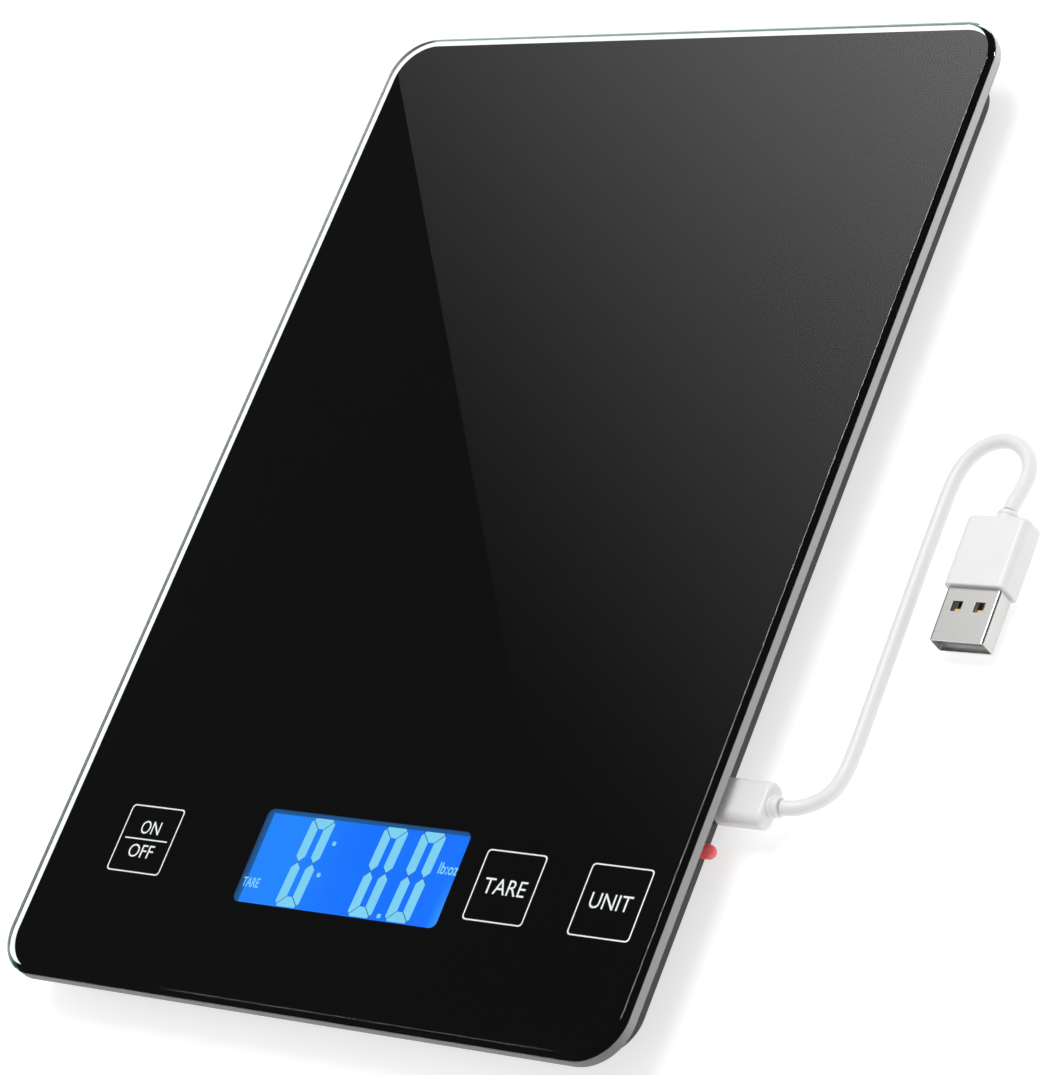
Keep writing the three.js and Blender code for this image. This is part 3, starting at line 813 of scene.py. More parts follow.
@dataclass
class ChargingLead(Assembly):
    """The white lead: a USB-C plug in the socket, the cord and a USB-A plug, end to end."""

    sizes: LeadSizes = LeadSizes()
    BODY = Body.LEAD
    # The cord's route from the USB-C plug to the USB-A plug, as the CAD tube runs, in millimetres.
    ROUTE = (
        (89.3, -57.5, 6.1), (90.6, -57.4, 5.95), (92.3, -56.9, 5.45), (94.2, -55.5, 4.6),
        (95.7, -53.6, 3.6), (96.6, -51.2, 2.7), (97.0, -48.0, 1.95), (97.1, -44.0, 1.58),
        (97.1, -38.0, 1.5), (97.0, -28.0, 1.5), (96.9, -16.0, 1.5), (96.8, -4.0, 1.5),
        (96.8, 7.0, 1.5), (96.9, 14.5, 1.5), (97.6, 19.4, 1.5), (99.6, 23.2, 1.5),
        (102.6, 25.4, 1.5), (106.0, 26.0, 1.5), (109.2, 24.9, 1.5), (111.8, 22.4, 1.5),
        (113.1, 19.2, 1.65), (113.4, 15.8, 2.2), (113.4, 12.4, 3.1), (113.4, 9.3, 3.6),
    )
    # A collar's outline from the grip to the cord: the share of its length, and the steps off its radius.
    COLLAR = ((0, 0), (0.32, 0), (0.4, 1), (0.52, 1), (0.6, 0.4), (0.86, 0.5), (1, 1.1))

    def build(self) -> None:
        """Makes the cord and everything on it."""
        cord = self.make_cord()
        ends = [
            self.make_usb_c_grip(), self.make_collar("usb_c", Axis.X), self.make_usb_a_grip(),
            self.make_collar("usb_a", Axis.Y), self.make_usb_a_tube(), self.make_insert(),
            self.make_contacts(), self.make_usb_c_nose(),
        ]

    def make_cord(self) -> Piece:
        """Makes the cord as one round curve through its route."""
        points = [Vector(p) * MM for p in self.ROUTE]
        curve = bpy.data.curves.new("charging_cord", "CURVE")
        curve.dimensions = "3D"
        curve.resolution_u = curve.bevel_resolution = self.sizes.cord_steps
        curve.bevel_depth = self.sizes.cord_radius
        curve.use_fill_caps = True
        spline = curve.splines.new("BEZIER")
        spline.bezier_points.add(len(points) - 1)
        around = zip(spline.bezier_points, points, [points[0], *points], [*points[1:], points[-1]])
        for knot, point, behind, ahead in around:
            pull = (ahead - behind) / 6
            knot.handle_left_type = knot.handle_right_type = "FREE"
            knot.co = point
            knot.handle_left = point - pull
            knot.handle_right = point + pull
        curve.materials.append(self.finishes["cable_sleeve"])
        return self.enter(bpy.data.objects.new("charging_cord", curve), "cable_sleeve", ["charging_cable"])

    def make_usb_c_nose(self) -> Piece:
        """Makes the USB-C plug's bright metal nose, open at its tip."""
        side, sizes = Box.of("usb_c_plug_shell").size, self.sizes
        bm = plate_mesh(side.z, side.y, sizes.nose_corner, side.x, 16, low=(sizes.nose_rim, 3))
        mouth = plate_mesh(*sizes.mouth, sizes.mouth_corner, side.x - sizes.mouth_short, 8)
        bm = carved(bm, [placed(mouth, (0, 0, -OUT))])
        return self.fit("usb_c_nose", bm, "bright_steel", "usb_c_plug_shell", Axis.X)

    def make_usb_c_grip(self) -> Piece:
        """Makes the USB-C plug's grip, rounded on every edge."""
        side, rim = Box.of("usb_c_overmould").size, (self.sizes.grip_rounding, 6)
        # Upright, the plug's length runs along Z, its thickness along X and its width along Y.
        bm = plate_mesh(side.z, side.y, side.z * self.sizes.grip_corner, side.x, 16, rim, rim)
        return self.fit("usb_c_grip", bm, "white_plastic", "usb_c_overmould", Axis.X)

    def make_collar(self, plug: str, axis: Axis) -> Piece:
        """Makes a plug's strain relief as a stepped, tapered collar with one groove.

        Args:
            plug: The plug's name.
            axis: The axis that the collar lies along.

        Returns:
            The piece.
        """
        node = f"{plug}_strain_relief"
        side, step = Box.of(node).size, self.sizes.collar_step
        length, radius = side[axis.value], side.z / 2
        outline = [(radius - steps * step, share * length) for share, steps in self.COLLAR]
        bm = turned_mesh([(0, 0), *outline, (0, length)])
        bevel(bm, [e for e in bm.edges if e.calc_face_angle(0) > 0.5], self.sizes.collar_rounding, 2)
        return self.fit(f"{plug}_collar", bm, "white_plastic", node, axis)

    def make_usb_a_grip(self) -> Piece:
        """Makes the USB-A plug's grip."""
        side, sizes = Box.of("usb_a_overmould").size, self.sizes
        front, back = (sizes.block_front, 3), (sizes.block_back, 6)
        bm = plate_mesh(side.x, side.z, sizes.block_corner, side.y, 12, front, back)
        return self.fit("usb_a_grip", bm, "white_plastic", "usb_a_overmould", Axis.Y)

    def make_usb_a_tube(self) -> Piece:
        """Makes the USB-A plug's bright sheet shell, with two windows in its top and two below."""
        side, sizes = Box.of("usb_a_shell").size, self.sizes
        width, height = side.x - 2 * sizes.sheet, side.z - 2 * sizes.sheet
        bm = plate_mesh(side.x, side.z, sizes.tube_corner, side.y, 8)
        hollow = plate_mesh(width, height, sizes.bore_corner, side.y, 8)
        bm = carved(bm, [placed(hollow, (0, 0, -sizes.tube_end))])
        windows = [
            placed(
                plate_mesh(sizes.window_side, side.z + 2 * OUT, 0, sizes.window_side),
                (way * sizes.window_spacing / 2, 0, side.y - sizes.window_back),
            )
            for way in (-1, 1)
        ]
        return self.fit("usb_a_tube", carved(bm, windows), "bright_steel", "usb_a_shell", Axis.Y)

    def make_insert(self) -> Piece:
        """Makes the USB-A plug's contact tongue."""
        side = Box.of("usb_a_tongue").size
        bm = plate_mesh(side.x, side.y, 0, side.z)
        bevel(bm, bm.edges[:], self.sizes.insert_edge, 2)
        return self.fit("usb_a_insert", bm, "white_plastic", "usb_a_tongue")

    def make_contacts(self) -> Piece:
        """Makes the USB-A plug's four contacts and the two springs under its windows."""
        tongue, shell, sizes = Box.of("usb_a_tongue"), Box.of("usb_a_shell"), self.sizes
        at = tongue.middle
        parts = []
        for place in (-1.5, -0.5, 0.5, 1.5):
            length = tongue.size.y * sizes.contact_share
            strip = plate_mesh(sizes.contact_width, length, 0, sizes.contact_height)
            top = at.z + tongue.size.z / 2 - sizes.contact_sunk
            parts.append(placed(strip, (at.x + place * sizes.contact_spacing, at.y, top)))
        for way in (-1, 1):
            spring = plate_mesh(*sizes.spring, sizes.spring_sheet, sizes.spring_sheet, 3)
            across, along = at.x + way * sizes.window_spacing / 2, shell.high.y - sizes.window_back
            parts.append(placed(spring, (across, along, shell.high.z - sizes.spring_drop)))
        return self.add("usb_a_contacts", join_meshes(parts), "contact_plastic", looks=["gold"])


# ---- the glass and its print -----------------------------------------------------------------


@dataclass(frozen=True)
class GlassSizes:
    """Sizes of the glass that the CAD node's box doesn't give, in metres."""

    corner: float = 10 * MM
    bevel_inset: float = 1.1 * MM
    bevel_drop: float = 0.9 * MM
    arris: float = 0.3 * MM
    softening: float = 0.2 * MM


@dataclass
class GlassPlatform(Assembly):
    """The clear glass slab, with polished bevels and a ground edge."""

    sizes: GlassSizes = GlassSizes()
    LOOKS = ("clear_glass", "ground_glass", "green_edge")

    def build(self) -> None:
        """Makes the slab."""
        side, sizes = Box.of("glass_platform").size, self.sizes
        bm = plate_mesh(side.x, side.y, sizes.corner, side.z, 32, high=(sizes.bevel_inset, 1))
        for vert in bm.verts:
            if abs(vert.co.z - (side.z - sizes.bevel_inset)) < SAME_HEIGHT:
                vert.co.z = side.z - sizes.bevel_drop
        bevel(bm, rim_edges(bm, 0), sizes.arris, 2)
        bevel(bm, level_edges(bm, side.z - sizes.bevel_drop) + rim_edges(bm, side.z), sizes.softening, 4)
        bm.normal_update()
        for face in bm.faces:
            face.material_index = self.LOOKS.index(self.look_of(face.normal))
        self.fit("glass_slab", bm, "clear_glass", "glass_platform", looks=self.LOOKS, smooth_under=25)

    def look_of(self, normal: Vector) -> str:
        """The finish of a face: ground on the wall, green on the two far bevels, or else polished."""
        if abs(normal.z) < 0.02:
            return "ground_glass"
        # The far bevels' green is the glass's own tint; their dark, opaque teal is painted shade for how
        # those edges look from the camera.
        if 0.3 < normal.z < 0.97 and (normal.x < -0.2 or (normal.y > 0.2 and normal.x < 0.25)):
            return "green_edge"
        return "clear_glass"


@dataclass(frozen=True)
class PrintSizes:
    """Sizes of the printing under the glass, in metres. It is sunk into the glass so no air shows."""

    margin: float = 1.3 * MM
    black_depth: float = 0.02 * MM
    white_depth: float = 0.035 * MM
    window_width: float = 52.8 * MM
    window_length: float = 20.8 * MM
    window_corner: float = 1.6 * MM
    button_width: float = 14.7 * MM
    button_length: float = 15.1 * MM
    button_corner: float = 0.9 * MM
    line: float = 0.3 * MM


def word_mesh(text: str, width: float, height: float, depth: float, weight: float = 0.0) -> Mesh:
    """A word as a thin closed mesh, centred on the origin and standing on it.

    Args:
        text: The word.
        width: Its width.
        height: The height of its letters.
        depth: How thick it is.
        weight: How much its strokes are fattened, as a share of its height.

    Returns:
        The mesh.
    """
    curve = bpy.data.curves.new("word", "FONT")
    curve.body = text
    curve.offset = weight
    curve.extrude = 0.05
    curve.resolution_u = 3
    obj = bpy.data.objects.new("word", curve)
    bpy.context.scene.collection.objects.link(obj)
    bm = bmesh.new()
    bm.from_mesh(obj.to_mesh())
    obj.to_mesh_clear()
    bpy.data.objects.remove(obj)
    bpy.data.curves.remove(curve)
    bmesh.ops.remove_doubles(bm, verts=bm.verts, dist=1e-5)
    box = Box(*(Vector([f(v.co[i] for v in bm.verts) for i in range(3)]) for f in (min, max)))
    bmesh.ops.translate(bm, vec=-box.foot(), verts=bm.verts)
    span = box.size
    bmesh.ops.scale(bm, vec=(width / span.x, height / span.y, depth / span.z), verts=bm.verts)
    bmesh.ops.recalc_face_normals(bm, faces=bm.faces)
    return bm


@dataclass
class PrintedLayer(Assembly):
    """The black enamel under the glass with its window, and the white boxes and words on it."""

    sizes: PrintSizes = PrintSizes()
    # Each button's words: their width over the box's, their height, and their place up the box.
    BUTTONS = {
        "on_off": (("ON", 0.355, 3.0 * MM, 2.7 * MM), ("OFF", 0.455, 3.0 * MM, -2.65 * MM)),
        "tare": (("TARE", 0.7, 3.3 * MM, 0),),
        "unit": (("UNIT", 0.66, 3.3 * MM, 0),),
    }

    def build(self) -> None:
        """Makes the black layer and the white marks."""
        self.make_black()
        for button in self.BUTTONS:
            self.make_button(button)

    def make_black(self) -> None:
        """Makes the black layer with the display's window in it."""
        film, glass, sizes = Box.of("graphic_film"), Box.of("glass_platform"), self.sizes
        depth = glass.low.z + sizes.black_depth - film.low.z
        width, length = glass.size.x - 2 * sizes.margin, glass.size.y - 2 * sizes.margin
        bm = placed(plate_mesh(width, length, GlassSizes().corner - sizes.margin, depth, 24), film.foot())
        window = Box.of("lcd_panel").middle
        window.z = film.low.z - THROUGH / 2
        hole = plate_mesh(sizes.window_width, sizes.window_length, sizes.window_corner, THROUGH, 8)
        self.add("black_print", carved(bm, [placed(hole, window)]), "black_print", "graphic_film")

    def make_button(self, button: str) -> None:
        """Makes one touch button's white outline and its words, over its touch spring."""
        sizes = self.sizes
        width, length, corner, line = sizes.button_width, sizes.button_length, sizes.button_corner, sizes.line
        depth = sizes.white_depth - sizes.black_depth
        outer = plate_mesh(width, length, corner, depth, 6)
        inner = plate_mesh(width - 2 * line, length - 2 * line, corner - line / 2, 4 * depth, 6)
        parts = [carved(outer, [placed(inner, (0, 0, -depth))])]
        words = self.BUTTONS[button]
        if len(words) == 2:
            parts.append(plate_mesh(width * 0.8, line, 0, depth))
        for text, share, height, row in words:
            parts.append(placed(word_mesh(text, share * width, height, depth), (0, row, 0)))
        at = Box.of(f"touch_spring_{button}").middle
        at.z = Box.of("glass_platform").low.z + sizes.black_depth
        mark = placed(join_meshes(parts), at)
        self.add(f"button_print_{button}", mark, "black_print", looks=["white_print"])


# ---- the display -----------------------------------------------------------------------------


@dataclass(frozen=True)
class DigitSizes:
    """Sizes of the display's marks, in metres, and the digits' slant in degrees."""

    width: float = 6.1 * MM
    height: float = 19.6 * MM
    stroke: float = 2.25 * MM
    clip: float = 0.8 * MM
    gap: float = 0.12 * MM
    seam: float = 0.02 * MM
    slant: float = 3.0
    depth: float = 0.04 * MM
    dot: float = 0.95 * MM
    dot_corner: float = 0.3 * MM
    word_weight: float = 0.015
    face_drop: float = 1.0 * MM
    face_corner: float = 0.6 * MM
    well_gap: float = 0.1 * MM


@dataclass
class Display(Assembly):
    """The backlit display under the window: its lit face, its digits and its small words."""

    sizes: DigitSizes = DigitSizes()
    # Places from the middle of the face, in millimetres: across, and away from the near edge.
    DIGITS = (-12.5, 6.5, 16.1)
    DOTS = ((-7.25, 4.8), (-7.9, -2.2), (11.0, -9.0))
    # Each word's width and height, then its place.
    WORDS = {"TARE": (4.4, 2.1, -24.2, -5.6), "lb:oz": (4.9, 2.5, 23.3, 2.6)}

    def build(self) -> None:
        """Makes the display: its block with the lit face, the frame round it, and its marks."""
        box, sizes = Box.of("lcd_panel"), self.sizes
        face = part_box("glass_platform")[0].z - sizes.face_drop
        block = plate_mesh(box.size.x, box.size.y, sizes.face_corner, face - box.low.z, 4)
        self.fit("display_face", block, "display", "lcd_panel")
        at = box.middle
        at.z = face
        # The frame's dark blue glow is painted light for the display's light on its shaded walls.
        self.add("display_well", placed(self.well(box, face), at), "display", looks=["well"])
        seams = join_meshes([placed(self.zero(0, sizes.seam), (x * MM, 0, 0)) for x in self.DIGITS])
        at.z = face - sizes.seam / 2
        self.add("display_seams", placed(seams, at), "display", looks=["seam"])
        parts = [placed(self.zero(sizes.gap, sizes.depth), (x * MM, 0, 0)) for x in self.DIGITS]
        for x, y in self.DOTS:
            dot = plate_mesh(sizes.dot, sizes.dot, sizes.dot_corner, sizes.depth, 4)
            parts.append(placed(dot, (x * MM, y * MM, 0)))
        for text, (width, height, x, y) in self.WORDS.items():
            word = word_mesh(text, width * MM, height * MM, sizes.depth, sizes.word_weight)
            parts.append(placed(word, (x * MM, y * MM, 0)))
        at.z = face - sizes.depth / 2
        self.add("display_marks", placed(join_meshes(parts), at), "display", looks=["segment"])

    def well(self, box: Box, face: float) -> Mesh:
        """The frame between the face and the print, centred on the origin."""
        window, gap = PrintSizes(), self.sizes.well_gap
        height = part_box("graphic_film")[0].z - face
        block = plate_mesh(box.size.x, box.size.y, self.sizes.face_corner, height, 4)
        width, length = window.window_width + 2 * gap, window.window_length + 2 * gap
        hole = plate_mesh(width, length, window.window_corner, 3 * height, 8)
        return carved(block, [placed(hole, (0, 0, -height))])

    def zero(self, gap: float, depth: float) -> Mesh:
        """The digit 0 with its six segments, leaning to the right, centred on the origin.

        Args:
            gap: How far each segment's ends stand back from their joints.
            depth: How thick the segments are.

        Returns:
            The mesh.
        """
        sizes = self.sizes
        w, h, t, c, g = sizes.width, sizes.height, sizes.stroke, sizes.clip, gap
        bar = [
            (c, h), (w - c, h), (w - c / 2 - g, h - c / 2), (w - t - g, h - t), (t + g, h - t),
            (c / 2 + g, h - c / 2),
        ]
        post = [
            (w - t, h - t - g), (w - c / 2, h - c / 2 - g), (w, h - c - g),
            (w, h / 2 + g + t / 2), (w - t / 2, h / 2 + g), (w - t, h / 2 + g + t / 2),
        ]

        def flipped(points: list[Flat], across: bool, down: bool) -> list[Flat]:
            """The outline mirrored within the digit's box."""
            return [(w - x if across else x, h - y if down else y) for x, y in points]

        outlines = [bar, flipped(bar, False, True)]
        outlines += [flipped(post, across, down) for across in (False, True) for down in (False, True)]
        bm = bmesh.new()
        lean = math.tan(math.radians(sizes.slant))
        for outline in outlines:
            verts = [bm.verts.new((x - w / 2 + (y - h / 2) * lean, y - h / 2, 0)) for x, y in outline]
            raise_face(bm, bm.faces.new(verts), depth)
        bmesh.ops.recalc_face_normals(bm, faces=bm.faces)
        return bm


# ---- the housing -----------------------------------------------------------------------------


@dataclass(frozen=True)
class HousingSizes:
    """Sizes of the housing that the CAD nodes' boxes don't give, in metres."""

    corner: float = 9 * MM
    wall: float = 2 * MM
    floor: float = 1.4 * MM
    deck: float = 1.6 * MM
    edge: float = 0.9 * MM
    joint: float = 0.12 * MM
    boss: float = 3.1 * MM
    pilot: float = 1.3 * MM
    pilot_depth: float = 1.2 * MM
    head_well: float = 2.5 * MM
    head_depth: float = 1.5 * MM
    foot_gap: float = 0.4 * MM
    port_gap: float = 0.1 * MM
    port_corner: float = 1.5 * MM
    lamp_gap: float = 0.15 * MM
    lamp_lip: float = 0.2 * MM
    spring_hole: float = 3.5 * MM
    window_gap: float = 0.3 * MM
    window_corner: float = 0.5 * MM
    tape_width: float = 4 * MM
    label: Flat = (52 * MM, 30 * MM)
    label_corner: float = 2 * MM
    label_depth: float = 0.25 * MM


@dataclass(frozen=True)
class ScrewSizes:
    """Sizes of a housing screw, in metres, and its head's rim as (radius share, height)."""

    shaft: float = 1.2 * MM
    head: float = 1.2 * MM
    thread_from: float = 1.5 * MM
    thread_short: float = 2.2 * MM
    pitch: float = 0.8 * MM
    root: float = 0.8  # as a share of the shaft
    point: float = 0.5 * MM
    cross: float = 2.6 * MM
    cross_line: float = 0.6 * MM
    cross_depth: float = 0.6 * MM
    rim: tuple[Flat, ...] = ((0.72, 0), (0.92, 0.12 * MM), (1, 0.4 * MM))


@dataclass(frozen=True)
class FootSizes:
    """Sizes of a rubber foot and of the cup that carries it, in metres."""

    groove: float = 0.3 * MM
    rise: float = 0.15 * MM
    rings: tuple[float, ...] = (0.28, 0.5, 0.72)  # as shares of the radius, like their width
    ring_width: float = 0.12
    rounding: float = 0.5 * MM
    rounding_steps: int = 6
    cup_lip: float = 0.6 * MM
    cup_base: float = 1.2 * MM
    cup_wall: float = 1.8 * MM
    cup_edge: float = 0.15 * MM
    lip_edge: float = 0.1 * MM


@dataclass
class Housing(Assembly):
    """The grey housing: the tray, the deck, the tape that holds the glass, the screws and the feet."""

    sizes: HousingSizes = HousingSizes()
    SCREWS = tuple(f"housing_screw_{number}" for number in range(1, 7))
    CORNERS = ("front_left", "front_right", "rear_left", "rear_right")
    SPRINGS = ("touch_spring_on_off", "touch_spring_tare", "touch_spring_unit")
    ROUND = 72  # strips round a foot

    def __post_init__(self) -> None:
        """Finds the tray's place."""
        self.tray = Box.of("housing_tray")

    def build(self) -> None:
        """Makes every piece of the housing."""
        self.make_tray()
        self.make_deck()
        self.make_tape()
        for node in self.SCREWS:
            self.make_screw(node, ScrewSizes())
        for corner in self.CORNERS:
            self.make_foot(corner, FootSizes())
            self.make_carrier(corner, FootSizes())

    def plate(self, inset: float, base: float, top: float, low: float = 0, high: float = 0) -> Mesh:
        """A plate that follows the housing's outline.

        Args:
            inset: How far it stands in from the outline.
            base: The height of its underside.
            top: The height of its top.
            low: The rounding of its lower rim.
            high: The rounding of its upper rim.

        Returns:
            The mesh.
        """
        width, length = self.tray.size.x - 2 * inset, self.tray.size.y - 2 * inset
        bm = plate_mesh(width, length, self.sizes.corner - inset, top - base, 24, (low, 5), (high, 3))
        return placed(bm, (0, 0, base))

    def pillars(self, nodes: Iterable[str], radius: float, base: float, height: float) -> list[Mesh]:
        """Upright round blocks of one size, over the middles of some nodes."""
        middles = [Box.of(node).middle for node in nodes]
        return [pillar(radius, (at.x, at.y, base), height) for at in middles]

    def make_tray(self) -> None:
        """Makes the tray: a hollow box with bosses, wells, the port, the lamp hole and a label recess."""
        sizes = self.sizes
        base, top = self.tray.low.z, self.tray.high.z
        body = self.plate(0, base, top, sizes.edge, sizes.joint)
        body = carved(body, [self.plate(sizes.wall, base + sizes.floor, top + sizes.floor)])
        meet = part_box("housing_deck")[0].z
        low = base + sizes.floor / 2
        bosses = self.pillars(self.SCREWS, sizes.boss, low, meet - base - sizes.floor / 2)
        cutters = self.pillars(self.SCREWS, sizes.pilot, base - OUT, meet - base + 2 * OUT)
        cutters += self.pillars(self.SCREWS, sizes.head_well, base - OUT, sizes.head_depth + OUT)
        for corner in self.CORNERS:
            foot = Box.of(f"rubber_foot_{corner}")
            at = (foot.middle.x, foot.middle.y, base - OUT)
            cutters.append(pillar(foot.size.x / 2 + sizes.foot_gap, at, sizes.floor + 2 * OUT, self.ROUND))
        cutters += [self.port_cutter(), self.lamp_cutter()]
        label = plate_mesh(*sizes.label, sizes.label_corner, OUT, 8)
        cutters.append(placed(label, (0, 0, base + sizes.label_depth - OUT)))
        self.add("tray_shell", carved(join_meshes([body, *bosses]), cutters), "grey_shell", "housing_tray")

    def port_cutter(self) -> Mesh:
        """The block that opens the tray's wall round the charging socket."""
        box, gap, wall = Box.of("usb_socket_shell"), self.sizes.port_gap, self.sizes.wall
        width, length = box.size.z + 2 * gap, box.size.y + 2 * gap
        block = plate_mesh(width, length, self.sizes.port_corner, 2 * wall + 2 * OUT, 12)
        return placed(block, (self.tray.high.x - 2 * wall, box.middle.y, box.middle.z), Axis.X)

    def lamp_cutter(self) -> Mesh:
        """The round block that opens the tray's wall round the charge lamp."""
        box, wall = Box.of("charge_lamp"), self.sizes.wall
        radius = box.size.z / 2 - self.sizes.lamp_lip + self.sizes.lamp_gap
        at = (self.tray.high.x - 1.5 * wall, box.middle.y, box.middle.z)
        return pillar(radius, at, 2 * wall, axis=Axis.X)

    def make_deck(self) -> None:
        """Makes the deck, with its bosses, the display's opening and the touch springs' holes."""
        sizes, deck = self.sizes, Box.of("housing_deck")
        low, top = deck.low.z, deck.high.z
        base = top - sizes.deck
        plate = self.plate(0, base, top, sizes.joint, sizes.joint)
        bosses = self.pillars(self.SCREWS, sizes.boss, low, base - low + sizes.deck / 3)
        cutters = self.pillars(self.SCREWS, sizes.pilot, low - OUT, base - low + sizes.pilot_depth)
        holder, gap = Box.of("lcd_holder"), 2 * sizes.window_gap
        opening = plate_mesh(holder.size.x + gap, holder.size.y + gap, sizes.window_corner, THROUGH, 4)
        cutters.append(placed(opening, (holder.middle.x, holder.middle.y, base - OUT)))
        cutters += self.pillars(self.SPRINGS, sizes.spring_hole, base - OUT, THROUGH)
        self.add("deck_shell", carved(join_meshes([plate, *bosses]), cutters), "grey_shell", "housing_deck")

    def make_tape(self) -> None:
        """Makes the foam tape between the deck and the printed glass."""
        low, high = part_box("bonding_tape")
        inset = self.tray.high.x - high.x
        ring = self.plate(inset, low.z, high.z)
        inner = self.plate(inset + self.sizes.tape_width, low.z - OUT, high.z + OUT)
        self.add("tape_ring", carved(ring, [inner]), "foam_tape", "bonding_tape")

    def make_screw(self, node: str, sizes: ScrewSizes) -> None:
        """Makes one housing screw, with a rounded head and a cross recess."""
        side = Box.of(node).size
        head, length, shaft, root = side.x / 2, side.z, sizes.shaft, sizes.root * sizes.shaft
        profile = [(0, 0), *((share * head, height) for share, height in sizes.rim)]
        profile += [(head, sizes.head), (shaft, sizes.head)]
        for turn in range(int((length - sizes.thread_short) / sizes.pitch)):
            start = sizes.thread_from + turn * sizes.pitch
            profile += [(root, start), (shaft, start + sizes.pitch / 2)]
        profile += [(root, length - sizes.point), (0, length)]
        plans = ((sizes.cross, sizes.cross_line), (sizes.cross_line, sizes.cross))
        slots = [placed(plate_mesh(*plan, 0, sizes.cross_depth + OUT), (0, 0, -OUT)) for plan in plans]
        bm = carved(turned_mesh(profile, 36), slots)
        self.fit(node.replace("housing", "shell"), bm, "bright_steel", node)

    def make_foot(self, corner: str, sizes: FootSizes) -> None:
        """Makes one rubber foot, with raised rings on its underside."""
        node = f"rubber_foot_{corner}"
        side = Box.of(node).size
        radius, groove, rise, rounding = side.x / 2, sizes.groove, sizes.rise, sizes.rounding
        profile = [(0, groove)]
        for ring in sizes.rings:
            inner, outer = ring * radius, (ring + sizes.ring_width) * radius
            profile += [(inner - rise, groove), (inner, 0), (outer, 0), (outer + rise, groove)]
        profile += [(radius - rounding - rise, groove)]
        for step in range(sizes.rounding_steps + 1):
            angle = math.pi / 2 * step / sizes.rounding_steps
            out, up = rounding * math.sin(angle), rounding * (1 - math.cos(angle))
            profile.append((radius - rounding + out, groove + up))
        profile += [(radius, side.z), (0, side.z)]
        self.fit(f"foot_pad_{corner}", turned_mesh(profile, self.ROUND), "foot_rubber", node)

    def make_carrier(self, corner: str, sizes: FootSizes) -> None:
        """Makes one foot's carrier: a cup that hangs in the tray's well by its flange."""
        node = f"foot_carrier_{corner}"
        side = Box.of(node).size
        flange, height = side.x / 2, side.z
        radius = Box.of(f"rubber_foot_{corner}").size.x / 2
        inner, edge, lip = radius - sizes.cup_wall, sizes.cup_edge, height - sizes.cup_lip
        profile = [
            (0, 0), (radius - edge, 0), (radius, edge), (radius, lip), (flange - sizes.lip_edge, lip),
            (flange, lip + sizes.lip_edge), (flange, height), (inner, height), (inner, sizes.cup_base),
            (0, sizes.cup_base),
        ]
        self.fit(f"foot_cup_{corner}", turned_mesh(profile, self.ROUND), "light_plastic", node)


# ---- the socket and the lamp -----------------------------------------------------------------


@dataclass(frozen=True)
class SocketSizes:
    """Sizes of the charging socket that the CAD nodes don't give, in metres."""

    sheet: float = 0.2 * MM
    back: float = 0.6 * MM
    corner: float = 1.5 * MM
    bore_corner: float = 1.3 * MM
    tongue_corner: float = 0.1 * MM
    tongue_tip: float = 0.15 * MM


@dataclass
class ChargingSocket(Assembly):
    """The USB-C socket in the tray's wall: its steel shell and its contact tongue."""

    sizes: SocketSizes = SocketSizes()

    def build(self) -> None:
        """Makes the shell and the tongue."""
        sizes, side = self.sizes, Box.of("usb_socket_shell").size
        sheet = 2 * sizes.sheet
        shell = plate_mesh(side.z, side.y, sizes.corner, side.x, 14)
        bore = plate_mesh(side.z - sheet, side.y - sheet, sizes.bore_corner, side.x, 14)
        shell = carved(shell, [placed(bore, (0, 0, sizes.back))])
        self.fit("socket_can", shell, "bright_steel", "usb_socket_shell", Axis.X)
        side = Box.of("usb_socket_tongue").size
        tongue = plate_mesh(side.z, side.y, sizes.tongue_corner, side.x, 3, high=(sizes.tongue_tip, 3))
        self.fit("socket_insert", tongue, "contact_plastic", "usb_socket_tongue", Axis.X)


@dataclass(frozen=True)
class LampSizes:
    """Sizes of the charge lamp that the CAD node doesn't give, in metres."""

    lip: float = 0.2 * MM
    shoulder: float = 1.0 * MM
    dome_steps: int = 8


@dataclass
class ChargeLamp(Assembly):
    """The round red lamp beside the charging socket."""

    sizes: LampSizes = LampSizes()

    def build(self) -> None:
        """Makes the lamp with its domed end and the flange behind the wall."""
        side, sizes = Box.of("charge_lamp").size, self.sizes
        length, flange = side.x, side.z / 2
        radius = flange - sizes.lip
        angles = [math.pi / 2 * step / sizes.dome_steps for step in range(sizes.dome_steps)]
        dome = [(radius * math.cos(a), length - radius + radius * math.sin(a)) for a in angles]
        wall = [(flange, 0), (flange, sizes.shoulder), (radius, sizes.shoulder)]
        bm = turned_mesh([(0, 0), *wall, *dome, (0, length)], 40)
        self.fit("charge_lens", bm, "red_lamp", "charge_lamp", Axis.X)


# ---- stage -----------------------------------------------------------------------------------


def stage_mesh(name: str, bm: Mesh, material: Material) -> Piece:
    """Makes a mesh a part of the stage, which isn't a piece of the scale."""
    mesh = bpy.data.meshes.new(name)
    bm.to_mesh(mesh)
    bm.free()
    mesh.materials.append(material)
    made = bpy.data.objects.new(name, mesh)
    bpy.context.scene.collection.objects.link(made)
    return made


@dataclass(frozen=True)
class SoftLight:
    """A square soft light, in metres and watts, and the pieces that it is limited to."""

    name: str
    at: Point
    aim: Point
    size: float
    power: float
    only: tuple[str, ...] = ()

    def make(self) -> None:
        """Adds the light."""
        data = bpy.data.lights.new(self.name, "AREA")
        data.shape = "SQUARE"
        data.size = self.size
        data.energy = self.power
        light = bpy.data.objects.new(self.name, data)
        light.location = self.at
        light.rotation_euler = (Vector(self.aim) - Vector(self.at)).to_track_quat("-Z", "Y").to_euler()
        bpy.context.scene.collection.objects.link(light)
        if self.only:
            group = bpy.data.collections.new(f"{self.name} lights")
            for piece in self.only:
                group.objects.link(bpy.data.objects[piece])
            light.light_linking.receiver_collection = group


